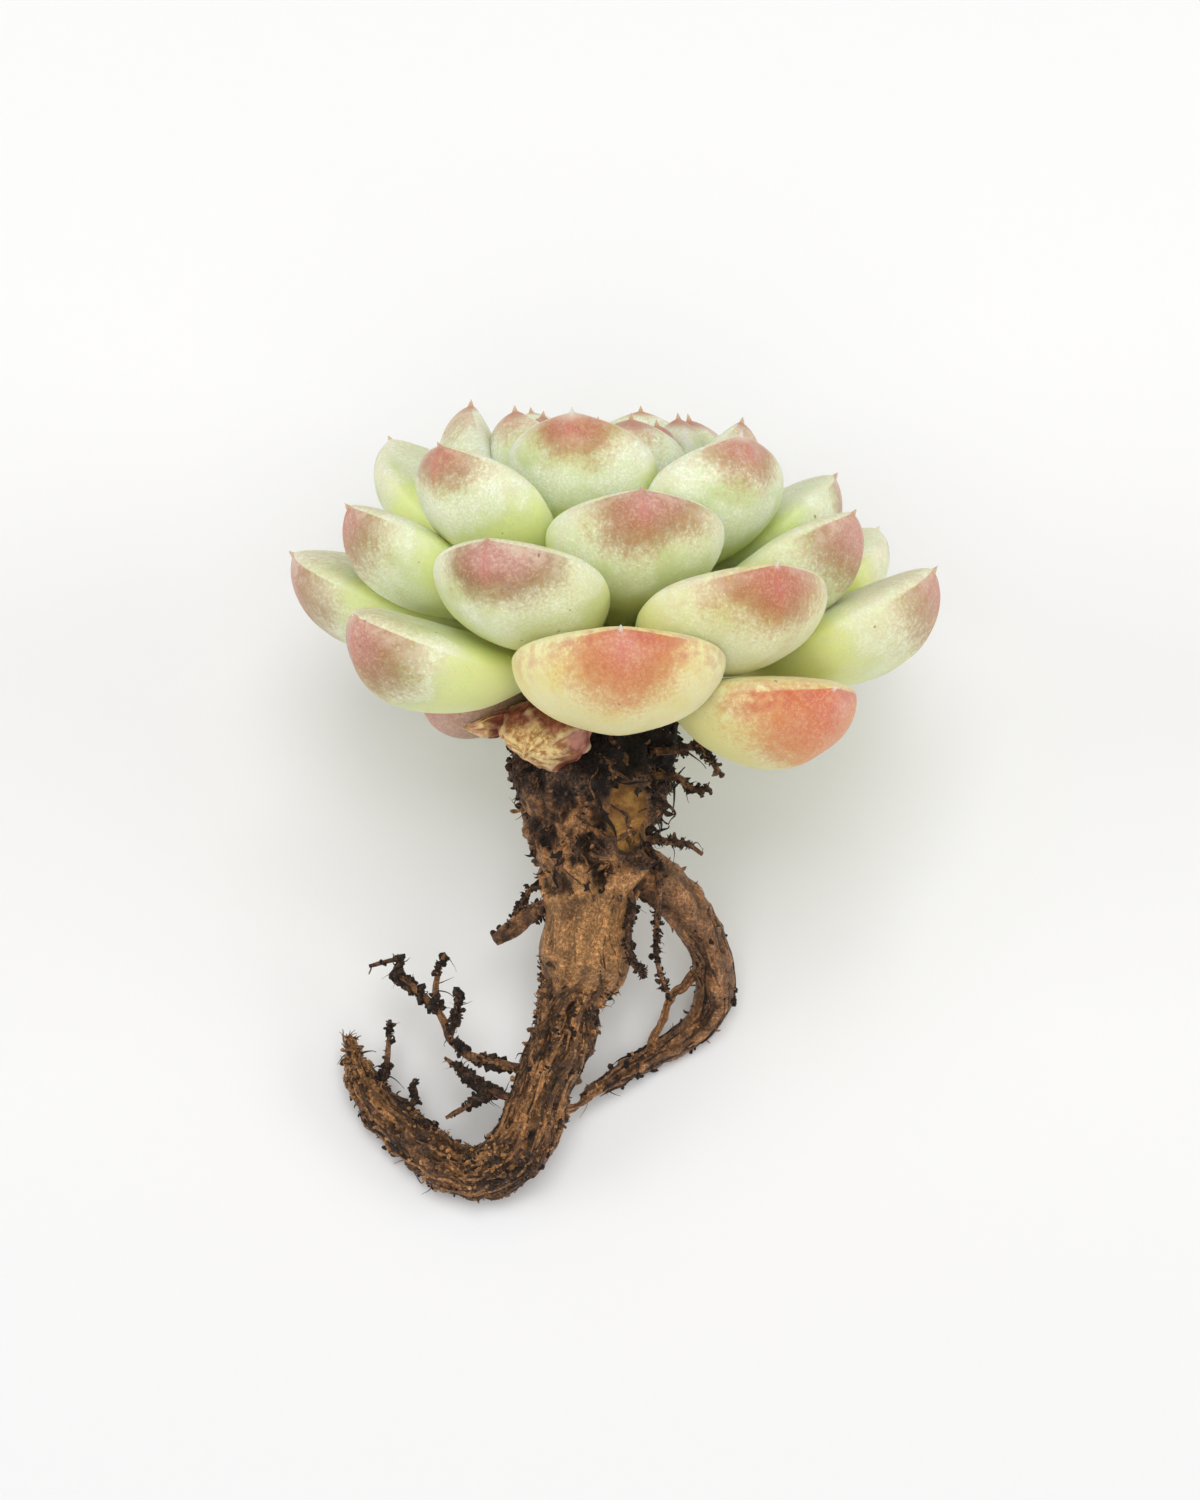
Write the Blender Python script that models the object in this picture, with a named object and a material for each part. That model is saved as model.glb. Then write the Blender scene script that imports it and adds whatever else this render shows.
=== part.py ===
"""Bare-root echeveria: a plump-leaved rosette with its stem and roots, lying on a surface.

Lengths below are millimetres; meshes are written in metres. X runs across, Y runs away along the
surface from the roots to the rosette, Z is up. The plant rests on its far rim leaves and on its roots.
Rosette frame: z along the growing axis, azimuth 0 toward the upper front side, growing toward +X.
"""
import math

import bmesh
import bpy
import numpy as np

MM = 0.001
SEAT_GAP = 0.32            # clearance between pieces that touch in life

# Rosette
ROSETTE_RADIUS = 32.5      # growing axis to the tips of the outer leaves
ROSETTE_HEIGHT = 28.2      # foot of the rosette to the innermost tips
LEAF_WIDTH = 19.0
LEAF_THICKNESS = 8.6
LEAF_FIRST = -3            # oldest plump leaf
LEAF_LAST = 36             # youngest leaf at the heart
GOLDEN_ANGLE = 137.508
SPIRAL_START = 2.0
POINT_LENGTH = 0.8         # small hard point at the leaf end
POINT_RADIUS = 0.30        # of that point on a broad leaf
AXIS_TILT = 29.5           # growing axis above the surface, degrees
ROSETTE_FOOT = (1.4, 6.55, 23.7)

# Stem and roots
AXIS_RADIUS = 5.6          # green growing axis where the lowest leaves stand
STEM_RADIUS = 4.8          # woody stem below the collar
COLLAR_RADIUS = 7.4        # collar of old leaf bases under the rosette
ROOT_RADIUS = 3.0          # main root
SIDE_ROOT_RADIUS = 2.3
FINE_ROOT_RADIUS = 0.5

LEAF_ROWS = 11             # facets along and around a full-grown leaf; the heart leaves have fewer
LEAF_SIDES = 14
HEART_ROWS = 9
HEART_SIDES = 10

# Age of a leaf against its form: tip radius, tip height, width, thickness, foot and first slope.
AGE = (-3, 6, 11, 16, 21, 27, 33, 38)
REACH = (1.0, 1.0, 0.862, 0.692, 0.477, 0.231, 0.108, 0.04)
RISE_AGE = (-3, 0, 8, 13, 19, 24, 29, 38)
RISE = (0.177, 0.284, 0.553, 0.727, 0.933, 0.968, 0.930, 0.87)
WIDTH_AGE = (-3, 5, 13, 21, 27, 33, 38)
WIDTH = (1.0, 0.95, 0.86, 0.74, 0.60, 0.42, 0.24)
THICK = (1.0, 0.95, 0.84, 0.70, 0.53, 0.38, 0.25)
FOOT_AGE = (-3, 20, 38)
FOOT_RADIUS = (0.9, 0.55, 0.1)
FOOT_HEIGHT = (0.02, 0.32, 0.53)
SLOPE_AGE = (-3, 8, 21, 38)
SLOPE = (-8.0, 12.0, 45.0, 80.0)

# How single leaves stray from the spiral: turn in degrees, reach and rise in millimetres, first slope
# in degrees, breadth as a factor, roll about the leaf's own length in degrees.
HABIT = {
    -3: (-9.5, -2.4, -4.2, -8.0, 0.95, -6.0),
    -2: (6.0, -13.0, -3.6, -8.0, 0.70, -10.0),
    -1: (0.0, -0.5, 1.0, 0.0, 1.0, 0.0),
    0: (-1.0, -1.5, -0.8, -6.0, 1.09, 0.0),
    1: (0.0, -0.5, 0.5, 0.0, 1.0, 0.0),
    2: (-7.0, -0.1, 1.6, 0.0, 1.0, 4.0),
    3: (-1.5, -0.7, -3.3, -8.0, 0.92, -12.0),
    4: (0.0, -0.6, 0.0, 0.0, 1.0, 0.0),
    5: (-2.5, -3.3, 0.1, 0.0, 1.09, 0.0),
    6: (5.0, 0.6, -1.2, 0.0, 1.0, -4.0),
    8: (-7.0, -1.9, -0.4, 0.0, 1.0, 0.0),
    10: (-1.0, -3.1, -0.3, 0.0, 1.0, 0.0),
    11: (-2.4, -0.4, -0.8, 0.0, 1.0, 0.0),
    13: (-7.4, -4.3, -0.6, 0.0, 1.06, 0.0),
    14: (1.0, 2.7, 2.5, 0.0, 1.0, 0.0),
    15: (0.0, -0.8, -2.0, 0.0, 1.0, 0.0),
    16: (-7.0, 1.5, 0.5, 0.0, 0.97, 0.0),
    18: (-2.0, -2.2, -0.4, 0.0, 1.18, 0.0),
    19: (0.0, -4.1, 1.5, 0.0, 1.0, 0.0),
    20: (0.0, -6.9, -0.2, 0.0, 1.0, 0.0),
    21: (-9.0, 0.8, 0.5, 0.0, 1.06, 0.0),
    23: (-2.0, 0.2, -1.0, 0.0, 1.0, 0.0),
    26: (-15.0, -0.8, -0.3, 0.0, 1.0, 0.0),
}

# Two withered leaves under the rosette: azimuth, foot radius and level, tip radius and height,
# breadth, thickness, first slope.
WITHERED = {
    "withered_leaf_1": (-35.0, 4.6, -1.0, 15.4, -7.0, 10.4, 7.0, -14.0),
    "withered_leaf_2": (-62.0, 4.6, -0.6, 17.0, -4.4, 6.0, 2.8, -20.0),
}

LEAF_GREEN = (0.66, 0.74, 0.52)
LEAF_CORAL = (0.84, 0.60, 0.42)
LEAF_DRY = (0.62, 0.44, 0.24)
BARK = (0.20, 0.12, 0.07)
ROOT_BROWN = (0.16, 0.10, 0.06)


def surface(name, colour, roughness):
    """Principled surface for one object."""
    mat = bpy.data.materials.new(name)
    mat.use_nodes = True
    shader = mat.node_tree.nodes["Principled BSDF"]
    shader.inputs["Base Color"].default_value = (colour[0], colour[1], colour[2], 1.0)
    shader.inputs["Roughness"].default_value = roughness
    mat.diffuse_color = (colour[0], colour[1], colour[2], 1.0)
    return mat


def axis_frame():
    """Unit vectors of the rosette in the resting pose: across, upper front, along the growing axis."""
    tilt = math.radians(AXIS_TILT)
    across = np.array((1.0, 0.0, 0.0))
    front = np.array((0.0, -math.sin(tilt), math.cos(tilt)))
    along = np.array((0.0, math.cos(tilt), math.sin(tilt)))
    return across, front, along


def leaf_form(index):
    """Size and lie of one leaf, from its place in the spiral and its own habit."""
    turn, reach, rise, slope, breadth, roll = HABIT.get(index, (0.0, 0.0, 0.0, 0.0, 1.0, 0.0))
    spread = ROSETTE_RADIUS / 32.5
    height = ROSETTE_HEIGHT / 28.2
    form = {}
    form["azimuth"] = SPIRAL_START - GOLDEN_ANGLE * index + turn
    form["reach"] = ROSETTE_RADIUS * np.interp(index, AGE, REACH) + reach * spread
    form["rise"] = ROSETTE_HEIGHT * np.interp(index, RISE_AGE, RISE) + rise * height
    form["width"] = LEAF_WIDTH * np.interp(index, WIDTH_AGE, WIDTH) * breadth
    form["thick"] = LEAF_THICKNESS * np.interp(index, WIDTH_AGE, THICK)
    form["foot"] = AXIS_RADIUS * np.interp(index, FOOT_AGE, FOOT_RADIUS)
    form["level"] = ROSETTE_HEIGHT * np.interp(index, FOOT_AGE, FOOT_HEIGHT)
    form["slope"] = np.interp(index, SLOPE_AGE, SLOPE) + slope
    form["roll"] = roll
    return form


def swelling(run, foot, widest, end, power):
    """Half breadth along a leaf: a narrow foot, a full middle and an arch that closes to a point."""
    opening = foot + (1.0 - foot) * np.sin(0.5 * np.pi * np.clip(run / widest, 0.0, 1.0)) ** 2
    past = np.clip((run - widest) / (end - widest), 0.0, 1.0)
    return opening * np.clip(1.0 - past ** 2.1, 0.0, 1.0) ** power


def leaf_points(form, grow, rows, sides):
    """Rings of a leaf from foot to point, in the rosette frame; grow offsets the skin outward."""
    foot = np.array((form["foot"], form["level"]))
    tip = np.array((form["reach"], form["rise"]))
    chord = math.hypot(tip[0] - foot[0], tip[1] - foot[1])
    end = 1.0 - POINT_LENGTH / chord
    q = np.linspace(0.0, 1.0, rows - 1)
    run = np.append(end * (0.45 * q + 0.55 * np.sin(0.5 * np.pi * q)), 1.0)
    slope = math.radians(form["slope"])
    bend = foot + 0.62 * chord * np.array((math.cos(slope), math.sin(slope)))
    line = np.outer((1.0 - run) ** 2, foot) + np.outer(2.0 * run * (1.0 - run), bend)
    line = line + np.outer(run ** 2, tip)
    way = np.outer(2.0 * (1.0 - run), bend - foot) + np.outer(2.0 * run, tip - bend)
    way = way / np.linalg.norm(way, axis=1)[:, None]
    inward = np.stack((-way[:, 1], way[:, 0]), axis=1)
    line[0] = line[0] - grow * way[0]
    line[-1] = line[-1] + grow * way[-1]
    point = 0.40 + 0.60 * np.clip((1.0 - run) * chord / (0.5 * POINT_LENGTH), 0.0, 1.0)
    point = POINT_RADIUS * min(1.0, form["width"] / 11.0) * point
    body = 0.5 * form["width"] * swelling(run, 0.24, 0.62, end, 0.76)
    half = np.hypot(body, point)
    body = form["thick"] * swelling(run, 0.30, 0.58, end, 0.62)
    deep = np.hypot(body, 2.0 * point)
    round_angle = np.linspace(0.0, 2.0 * np.pi, sides, endpoint=False)
    cosine = np.cos(round_angle)
    sine = np.sin(round_angle)
    share = np.where(sine > 0.0, 0.30, 0.70)
    breadth = half[:, None] * cosine
    near_end = np.clip((run - 0.35) / 0.5, 0.0, 1.0)
    near_end = near_end * near_end * (3.0 - 2.0 * near_end)
    trough = 0.9 * near_end[:, None] * (breadth / (0.5 * form["width"])) ** 2
    keel = 0.10 * near_end[:, None] * np.where(sine < 0.0, np.exp(-(cosine / 0.28) ** 2), 0.0)
    raised = deep[:, None] * (share * sine)[None, :] + trough - keel * deep[:, None]
    breadth = breadth + grow * cosine[None, :]
    raised = raised + grow * sine[None, :]
    roll = math.radians(form["roll"]) * np.clip(run / 0.5, 0.0, 1.0)[:, None]
    breadth, raised = (breadth * np.cos(roll) - raised * np.sin(roll),
                       breadth * np.sin(roll) + raised * np.cos(roll))
    out = line[:, 0:1] + inward[:, 0:1] * raised
    up = line[:, 1:2] + inward[:, 1:2] * raised
    return np.stack((breadth, out, up), axis=2)


def rosette_place(points, azimuth, lift):
    """Turn (sideways, outward, up) leaf points about the axis and into the resting pose."""
    across, front, along = axis_frame()
    turn = math.radians(azimuth)
    outward = math.sin(turn) * across + math.cos(turn) * front
    sideways = math.cos(turn) * across - math.sin(turn) * front
    base = np.array(ROSETTE_FOOT)
    pivot = points[0].mean(axis=0)
    tilt = math.radians(lift)
    side = points[..., 0]
    out = points[..., 1] - pivot[1]
    up = points[..., 2] - pivot[2]
    out, up = out * math.cos(tilt) - up * math.sin(tilt), out * math.sin(tilt) + up * math.cos(tilt)
    out = out + pivot[1]
    up = up + pivot[2]
    placed = side[..., None] * sideways + out[..., None] * outward + up[..., None] * along
    return placed + base


def ring_mesh(rings):
    """Vertices and faces of a closed body made of rings, the two ends closed by fans."""
    count, sides, _ = rings.shape
    verts = np.concatenate((rings.reshape(-1, 3), rings[0].mean(axis=0)[None], rings[-1].mean(axis=0)[None]))
    row, col = np.meshgrid(np.arange(count - 1), np.arange(sides), indexing="ij")
    nxt = (col + 1) % sides
    walls = np.stack((row * sides + col, row * sides + nxt, (row + 1) * sides + nxt,
                      (row + 1) * sides + col), axis=2).reshape(-1, 4)
    ends = []
    for i in range(sides):
        j = (i + 1) % sides
        ends.append((count * sides, j, i))
        ends.append((count * sides + 1, (count - 1) * sides + i, (count - 1) * sides + j))
    return verts, walls.tolist() + ends


def tube_rings(route, steps, sides, grow, lumps, seed):
    """Rings along a smooth route of (x, y, z, radius) points, with soft lumps in the radius."""
    route = np.array(route, dtype=float)
    padded = np.concatenate((2.0 * route[:1] - route[1:2], route, 2.0 * route[-1:] - route[-2:-1]))
    spans = len(route) - 1
    where = np.linspace(0.0, spans, steps)
    left = np.minimum(where.astype(int), spans - 1)
    part = (where - left)[:, None]
    a, b, c, d = padded[left], padded[left + 1], padded[left + 2], padded[left + 3]
    line = 0.5 * (2.0 * b + (c - a) * part + (2.0 * a - 5.0 * b + 4.0 * c - d) * part ** 2
                  + (3.0 * b - a - 3.0 * c + d) * part ** 3)
    centre = line[:, :3]
    radius = line[:, 3]
    way = np.gradient(centre, axis=0)
    way = way / np.linalg.norm(way, axis=1)[:, None]
    centre[0] = centre[0] - grow * way[0]
    centre[-1] = centre[-1] + grow * way[-1]
    first = np.cross(way[0], (0.3, 0.2, 1.0))
    first = first / np.linalg.norm(first)
    rings = np.zeros((steps, sides, 3))
    turn = np.linspace(0.0, 2.0 * np.pi, sides, endpoint=False)
    for i in range(steps):
        first = first - way[i] * np.dot(first, way[i])
        first = first / np.linalg.norm(first)
        second = np.cross(way[i], first)
        wave = np.sin(2.0 * turn + 0.9 * i + seed) + 0.7 * np.sin(3.0 * turn - 1.3 * i + 2.0 * seed)
        reach = radius[i] * (1.0 + lumps * wave) + grow
        rings[i] = centre[i] + np.outer(np.cos(turn) * reach, first) + np.outer(np.sin(turn) * reach, second)
    return rings


def add_body(name, rings):
    """New object from rings, faces outward."""
    verts, faces = ring_mesh(rings)
    mesh = bpy.data.meshes.new(name)
    mesh.from_pydata((verts * MM).tolist(), [], faces)
    bm = bmesh.new()
    bm.from_mesh(mesh)
    bmesh.ops.recalc_face_normals(bm, faces=bm.faces)
    bmesh.ops.triangulate(bm, faces=bm.faces)
    bm.to_mesh(mesh)
    bm.free()
    body = bpy.data.objects.new(name, mesh)
    bpy.context.scene.collection.objects.link(body)
    return body


def combine(body, other, operation):
    """Apply one exact Boolean to a body."""
    step = body.modifiers.new("step", "BOOLEAN")
    step.operation = operation
    step.solver = "EXACT"
    step.object = other
    graph = bpy.context.evaluated_depsgraph_get()
    mesh = bpy.data.meshes.new_from_object(body.evaluated_get(graph))
    body.modifiers.clear()
    old = body.data
    body.data = mesh
    bpy.data.meshes.remove(old)


def keep_largest(body):
    """Drop loose scraps, keep the biggest connected piece."""
    bm = bmesh.new()
    bm.from_mesh(body.data)
    bmesh.ops.triangulate(bm, faces=bm.faces)
    bm.faces.ensure_lookup_table()
    seen = set()
    groups = []
    for face in bm.faces:
        if face.index in seen:
            continue
        stack = [face]
        seen.add(face.index)
        group = []
        while stack:
            now = stack.pop()
            group.append(now)
            for edge in now.edges:
                for near in edge.link_faces:
                    if near.index not in seen:
                        seen.add(near.index)
                        stack.append(near)
        groups.append(group)
    if len(groups) > 1:
        size = []
        for group in groups:
            total = 0.0
            for face in group:
                a, b, c = (v.co for v in face.verts)
                total += a.dot(b.cross(c))
            size.append(total)
        best = size.index(max(size))
        scraps = [f for i, group in enumerate(groups) if i != best for f in group]
        bmesh.ops.delete(bm, geom=scraps, context="FACES")
        loose = [v for v in bm.verts if not v.link_faces]
        bmesh.ops.delete(bm, geom=loose, context="VERTS")
    bm.to_mesh(body.data)
    bm.free()


def span(body):
    """Corner coordinates of a body's box, metres."""
    count = len(body.data.vertices)
    flat = np.zeros(count * 3)
    body.data.vertices.foreach_get("co", flat)
    flat = flat.reshape(-1, 3)
    return flat.min(axis=0), flat.max(axis=0)


def clear_of(body, cutters):
    """Cut away whatever reaches into the grown skins of the pieces already placed."""
    low, high = span(body)
    for cutter, c_low, c_high in cutters:
        if np.all(low < c_high) and np.all(high > c_low):
            combine(body, cutter, "DIFFERENCE")
    keep_largest(body)


def set_aside(name, rings, cutters):
    """Hidden grown copy of a piece, used to keep later pieces clear of it."""
    cutter = add_body(name, rings)
    cutter.hide_render = True
    cutter.hide_viewport = False
    low, high = span(cutter)
    cutters.append((cutter, low, high))


def leaf_lift(form):
    """Degrees a leaf is bent up about its foot so that it lies on the surface, not below it."""
    points = leaf_points(form, 0.0, LEAF_ROWS, LEAF_SIDES)
    lift = 0.0
    while lift < 40.0:
        low = rosette_place(points, form["azimuth"], lift)[..., 2].min()
        if low >= 0.0:
            break
        lift += 0.25
    return lift


def add_leaf(name, form, rows, sides, colour, cutters):
    """One leaf, cut clear of the pieces already placed, with its own grown copy set aside."""
    lift = leaf_lift(form)
    points = leaf_points(form, 0.0, rows, sides)
    leaf = add_body(name, rosette_place(points, form["azimuth"], lift))
    clear_of(leaf, cutters)
    grown = leaf_points(form, SEAT_GAP, rows, sides)
    set_aside(name + "_skin", rosette_place(grown, form["azimuth"], lift), cutters)
    leaf.data.materials.append(surface(name, colour, 0.6))
    return leaf


def add_root(name, routes, sides, scale, cutters):
    """A root with its branches as one body, cut clear of the pieces already placed."""
    root = None
    for number, (route, steps) in enumerate(routes):
        scaled = [(x, y, z, r * scale) for x, y, z, r in route]
        limb = add_body(name, tube_rings(scaled, steps, sides, 0.0, 0.05, 1.3 + number))
        if root is None:
            root = limb
        else:
            combine(root, limb, "UNION")
            bpy.data.objects.remove(limb, do_unlink=True)
    clear_of(root, cutters)
    for number, (route, steps) in enumerate(routes):
        scaled = [(x, y, z, r * scale) for x, y, z, r in route]
        grown = tube_rings(scaled, steps, sides, SEAT_GAP, 0.05, 1.3 + number)
        set_aside(name + "_skin", grown, cutters)
    root.data.materials.append(surface(name, ROOT_BROWN, 0.9))
    return root


for item in list(bpy.data.objects):
    bpy.data.objects.remove(item, do_unlink=True)

pieces = []
cutters = []
across, front, along = axis_frame()
base = np.array(ROSETTE_FOOT)

# Woody stem running on into the bent main root, with the green growing axis at its upper end.
stem_route = [
    tuple(base + along * 0.56 * ROSETTE_HEIGHT) + (0.5,),
    tuple(base + along * 0.42 * ROSETTE_HEIGHT) + (AXIS_RADIUS * 0.27,),
    tuple(base + along * 0.22 * ROSETTE_HEIGHT) + (AXIS_RADIUS * 0.62,),
    tuple(base) + (AXIS_RADIUS,),
    (0.4, 1.8, 21.5, COLLAR_RADIUS * 0.94),
    (-0.5, -2.1, 19.6, COLLAR_RADIUS),
    (-0.8, -7.2, 17.3, COLLAR_RADIUS * 0.84),
    (-0.9, -11.8, 15.3, STEM_RADIUS),
    (-1.1, -15.4, 13.6, STEM_RADIUS * 0.90),
    (-1.7, -19.4, 11.9, STEM_RADIUS * 0.94),
    (-2.4, -21.4, 11.1, ROOT_RADIUS * 1.2),
    (-3.2, -23.4, 10.2, ROOT_RADIUS * 1.0),
    (-4.0, -27.0, 8.4, ROOT_RADIUS * 1.02),
    (-5.8, -30.9, 6.8, ROOT_RADIUS * 0.90),
    (-7.2, -34.7, 5.0, ROOT_RADIUS),
    (-9.0, -37.2, 3.6, ROOT_RADIUS * 0.95),
    (-12.0, -38.4, 2.7, ROOT_RADIUS * 0.88),
    (-14.8, -37.6, 2.4, ROOT_RADIUS * 0.80),
    (-17.7, -35.6, 2.4, ROOT_RADIUS * 0.76),
    (-20.9, -32.6, 2.6, ROOT_RADIUS * 0.72),
    (-23.6, -29.2, 2.9, ROOT_RADIUS * 0.55),
    (-24.8, -26.2, 3.4, ROOT_RADIUS * 0.38),
    (-25.2, -24.2, 3.6, ROOT_RADIUS * 0.18),
]
stem = add_body("stem_main_root", tube_rings(stem_route, 60, 14, 0.0, 0.035, 0.7))
set_aside("stem_skin", tube_rings(stem_route, 60, 14, SEAT_GAP, 0.035, 0.7), cutters)
stem.data.materials.append(surface("bark", BARK, 0.9))
pieces.append(stem)

# Plump leaves, from the heart outward; each one keeps clear of the younger ones.
for index in range(LEAF_LAST, LEAF_FIRST - 1, -1):
    rows = HEART_ROWS if index >= 20 else LEAF_ROWS
    sides = HEART_SIDES if index >= 20 else LEAF_SIDES
    colour = LEAF_CORAL if index in (-3, 0) else LEAF_GREEN
    name = "leaf_%02d" % (index - LEAF_FIRST + 1)
    pieces.append(add_leaf(name, leaf_form(index), rows, sides, colour, cutters))

for name in WITHERED:
    azimuth, foot, level, reach, rise, width, thick, slope = WITHERED[name]
    form = {"azimuth": azimuth, "foot": foot, "level": level, "reach": reach, "rise": rise,
            "width": width, "thick": thick, "slope": slope, "roll": 0.0}
    pieces.append(add_leaf(name, form, HEART_ROWS, HEART_SIDES, LEAF_DRY, cutters))

# Side root that leaves the stem under the collar, bends down to the surface and back under.
side_route = [
    (0.4, -8.2, 16.6, 2.0), (3.4, -10.4, 15.8, 2.3), (6.4, -12.0, 14.0, 2.3),
    (9.0, -13.8, 11.0, 2.2), (10.9, -16.0, 7.2, 2.05), (11.6, -18.8, 3.6, 1.95),
    (10.6, -21.4, 1.95, 1.7), (7.8, -23.9, 1.5, 1.4), (4.2, -26.2, 1.8, 1.1),
    (0.6, -28.7, 2.6, 0.8), (-1.8, -30.6, 3.2, 0.5),
]
stub_route = [
    (-1.0, -13.4, 15.2, 1.3), (-4.0, -13.9, 14.2, 1.0), (-6.8, -14.4, 12.6, 0.85),
    (-9.0, -15.5, 11.2, 0.85), (-10.6, -16.3, 10.4, 0.6),
]
stub_twig = [(-8.0, -14.9, 12.0, 0.5), (-7.9, -13.3, 12.4, 0.35), (-6.9, -11.7, 13.0, 0.22)]
pieces.append(add_root("side_root", [(side_route, 26)], 10, SIDE_ROOT_RADIUS / 2.3, cutters))
pieces.append(add_root("stub_root", [(stub_route, 9), (stub_twig, 5)], 7, ROOT_RADIUS / 3.0, cutters))

# Fine roots: a branching one to the left, a shorter one under it, and curled rootlets by the collar.
fine = FINE_ROOT_RADIUS / 0.5
tangle_route = [
    (-6.0, -29.3, 7.4, 0.7), (-9.2, -28.9, 8.0, 0.62), (-12.8, -28.0, 8.4, 0.6),
    (-14.9, -26.3, 8.4, 0.58), (-16.1, -23.4, 8.4, 0.55), (-18.9, -20.4, 8.2, 0.5),
    (-20.6, -19.0, 8.0, 0.45), (-20.4, -17.6, 8.2, 0.36), (-23.3, -18.2, 8.0, 0.26),
]
tangle_twig_1 = [
    (-16.0, -23.6, 8.4, 0.4), (-16.5, -21.2, 9.2, 0.33), (-16.1, -19.0, 9.6, 0.3),
    (-15.6, -17.6, 9.8, 0.2),
]
tangle_twig_2 = [(-15.0, -26.3, 8.4, 0.4), (-14.5, -23.8, 8.8, 0.3), (-14.2, -21.3, 9.2, 0.2)]
lower_route = [
    (-6.0, -31.7, 6.4, 0.6), (-8.8, -31.8, 6.8, 0.55), (-11.6, -30.8, 6.8, 0.5),
    (-13.8, -28.9, 6.6, 0.45), (-15.6, -27.4, 6.4, 0.28),
]
lower_twig = [(-11.0, -31.1, 6.8, 0.45), (-13.0, -32.4, 6.4, 0.38), (-15.4, -33.7, 6.0, 0.25)]
hair_route_1 = [
    (4.2, -8.9, 18.0, 0.5), (5.7, -11.2, 18.0, 0.45), (5.8, -14.9, 15.6, 0.4),
    (5.6, -18.1, 12.2, 0.36), (6.4, -20.7, 9.6, 0.34), (7.4, -21.6, 7.6, 0.26),
]
hair_route_2 = [
    (2.5, -13.2, 17.4, 0.6), (3.2, -15.1, 16.6, 0.5), (2.8, -17.8, 15.8, 0.5),
    (3.2, -20.3, 14.8, 0.42), (4.6, -21.6, 14.0, 0.28),
]
curl_route_1 = [
    (5.0, -1.9, 24.5, 0.6), (7.9, -2.1, 25.2, 0.5), (9.6, -1.6, 25.4, 0.42),
    (10.7, -2.7, 25.0, 0.36), (11.8, -4.2, 24.6, 0.24),
]
curl_route_2 = [
    (5.0, -3.6, 22.6, 0.6), (7.7, -4.3, 23.4, 0.5), (9.4, -5.5, 23.2, 0.36),
    (10.7, -5.3, 23.4, 0.25),
]
curl_route_3 = [
    (4.0, -8.7, 18.6, 0.6), (6.8, -9.4, 19.4, 0.45), (8.7, -9.8, 19.6, 0.36),
    (10.2, -10.8, 19.4, 0.25),
]
hook_route_1 = [
    (-22.9, -32.0, 3.2, 0.6), (-21.8, -29.1, 3.8, 0.42), (-21.4, -26.1, 4.4, 0.34),
    (-21.2, -22.8, 5.0, 0.2),
]
hook_route_2 = [
    (-20.9, -33.7, 3.2, 0.6), (-19.3, -32.0, 3.6, 0.5), (-18.6, -30.6, 3.9, 0.45),
    (-18.9, -29.2, 4.2, 0.25),
]
branching = [(tangle_route, 18), (tangle_twig_1, 6), (tangle_twig_2, 5)]
pieces.append(add_root("fine_root_1", branching, 6, fine, cutters))
pieces.append(add_root("fine_root_2", [(lower_route, 9), (lower_twig, 5)], 6, fine, cutters))
pieces.append(add_root("fine_root_3", [(hair_route_1, 11)], 6, fine, cutters))
pieces.append(add_root("fine_root_4", [(hair_route_2, 9)], 6, fine, cutters))
pieces.append(add_root("rootlet_1", [(curl_route_1, 9)], 6, fine, cutters))
pieces.append(add_root("rootlet_2", [(curl_route_2, 7)], 6, fine, cutters))
pieces.append(add_root("rootlet_3", [(curl_route_3, 7)], 6, fine, cutters))
pieces.append(add_root("rootlet_4", [(hook_route_1, 7)], 6, fine, cutters))
pieces.append(add_root("rootlet_5", [(hook_route_2, 7)], 6, fine, cutters))

for cutter, _, _ in cutters:
    bpy.data.objects.remove(cutter, do_unlink=True)

# Rest on the surface with the origin under the middle of the whole plant.
lows = np.array([span(body)[0] for body in pieces]).min(axis=0)
highs = np.array([span(body)[1] for body in pieces]).max(axis=0)
shift = np.array((-(lows[0] + highs[0]) * 0.5, -(lows[1] + highs[1]) * 0.5, -lows[2]))
for body in pieces:
    for vertex in body.data.vertices:
        vertex.co = (vertex.co[0] + shift[0], vertex.co[1] + shift[1], vertex.co[2] + shift[2])
    body.data.update()
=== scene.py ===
"""Bare-root echeveria lying on a pale surface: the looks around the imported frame.

Work is in millimetres in the plant's own frame; make_piece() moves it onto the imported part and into
metres. Rosette frame: azimuth 0 is toward the upper front side, growing toward +X; "along" is the
growing axis. A leaf is made as (sideways, outward, up) points, which rosette_place() sets in the rosette.
"""
import math

import bpy
import numpy as np
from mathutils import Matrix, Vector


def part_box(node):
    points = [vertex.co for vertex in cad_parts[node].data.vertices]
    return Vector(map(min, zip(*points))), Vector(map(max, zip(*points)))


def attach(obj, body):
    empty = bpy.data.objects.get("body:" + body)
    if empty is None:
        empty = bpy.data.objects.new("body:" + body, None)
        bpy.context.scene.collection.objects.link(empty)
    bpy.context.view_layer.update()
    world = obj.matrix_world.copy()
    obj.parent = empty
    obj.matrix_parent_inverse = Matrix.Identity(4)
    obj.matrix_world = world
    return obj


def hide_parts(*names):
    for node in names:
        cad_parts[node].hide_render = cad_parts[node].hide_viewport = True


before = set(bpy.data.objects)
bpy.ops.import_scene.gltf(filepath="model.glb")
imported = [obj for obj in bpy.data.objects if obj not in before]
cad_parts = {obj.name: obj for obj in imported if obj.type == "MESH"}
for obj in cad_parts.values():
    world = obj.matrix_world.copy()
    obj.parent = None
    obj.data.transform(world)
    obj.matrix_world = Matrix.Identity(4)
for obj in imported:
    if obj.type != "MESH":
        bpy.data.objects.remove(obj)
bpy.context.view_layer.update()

MM = 0.001                   # metres in one millimetre

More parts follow.
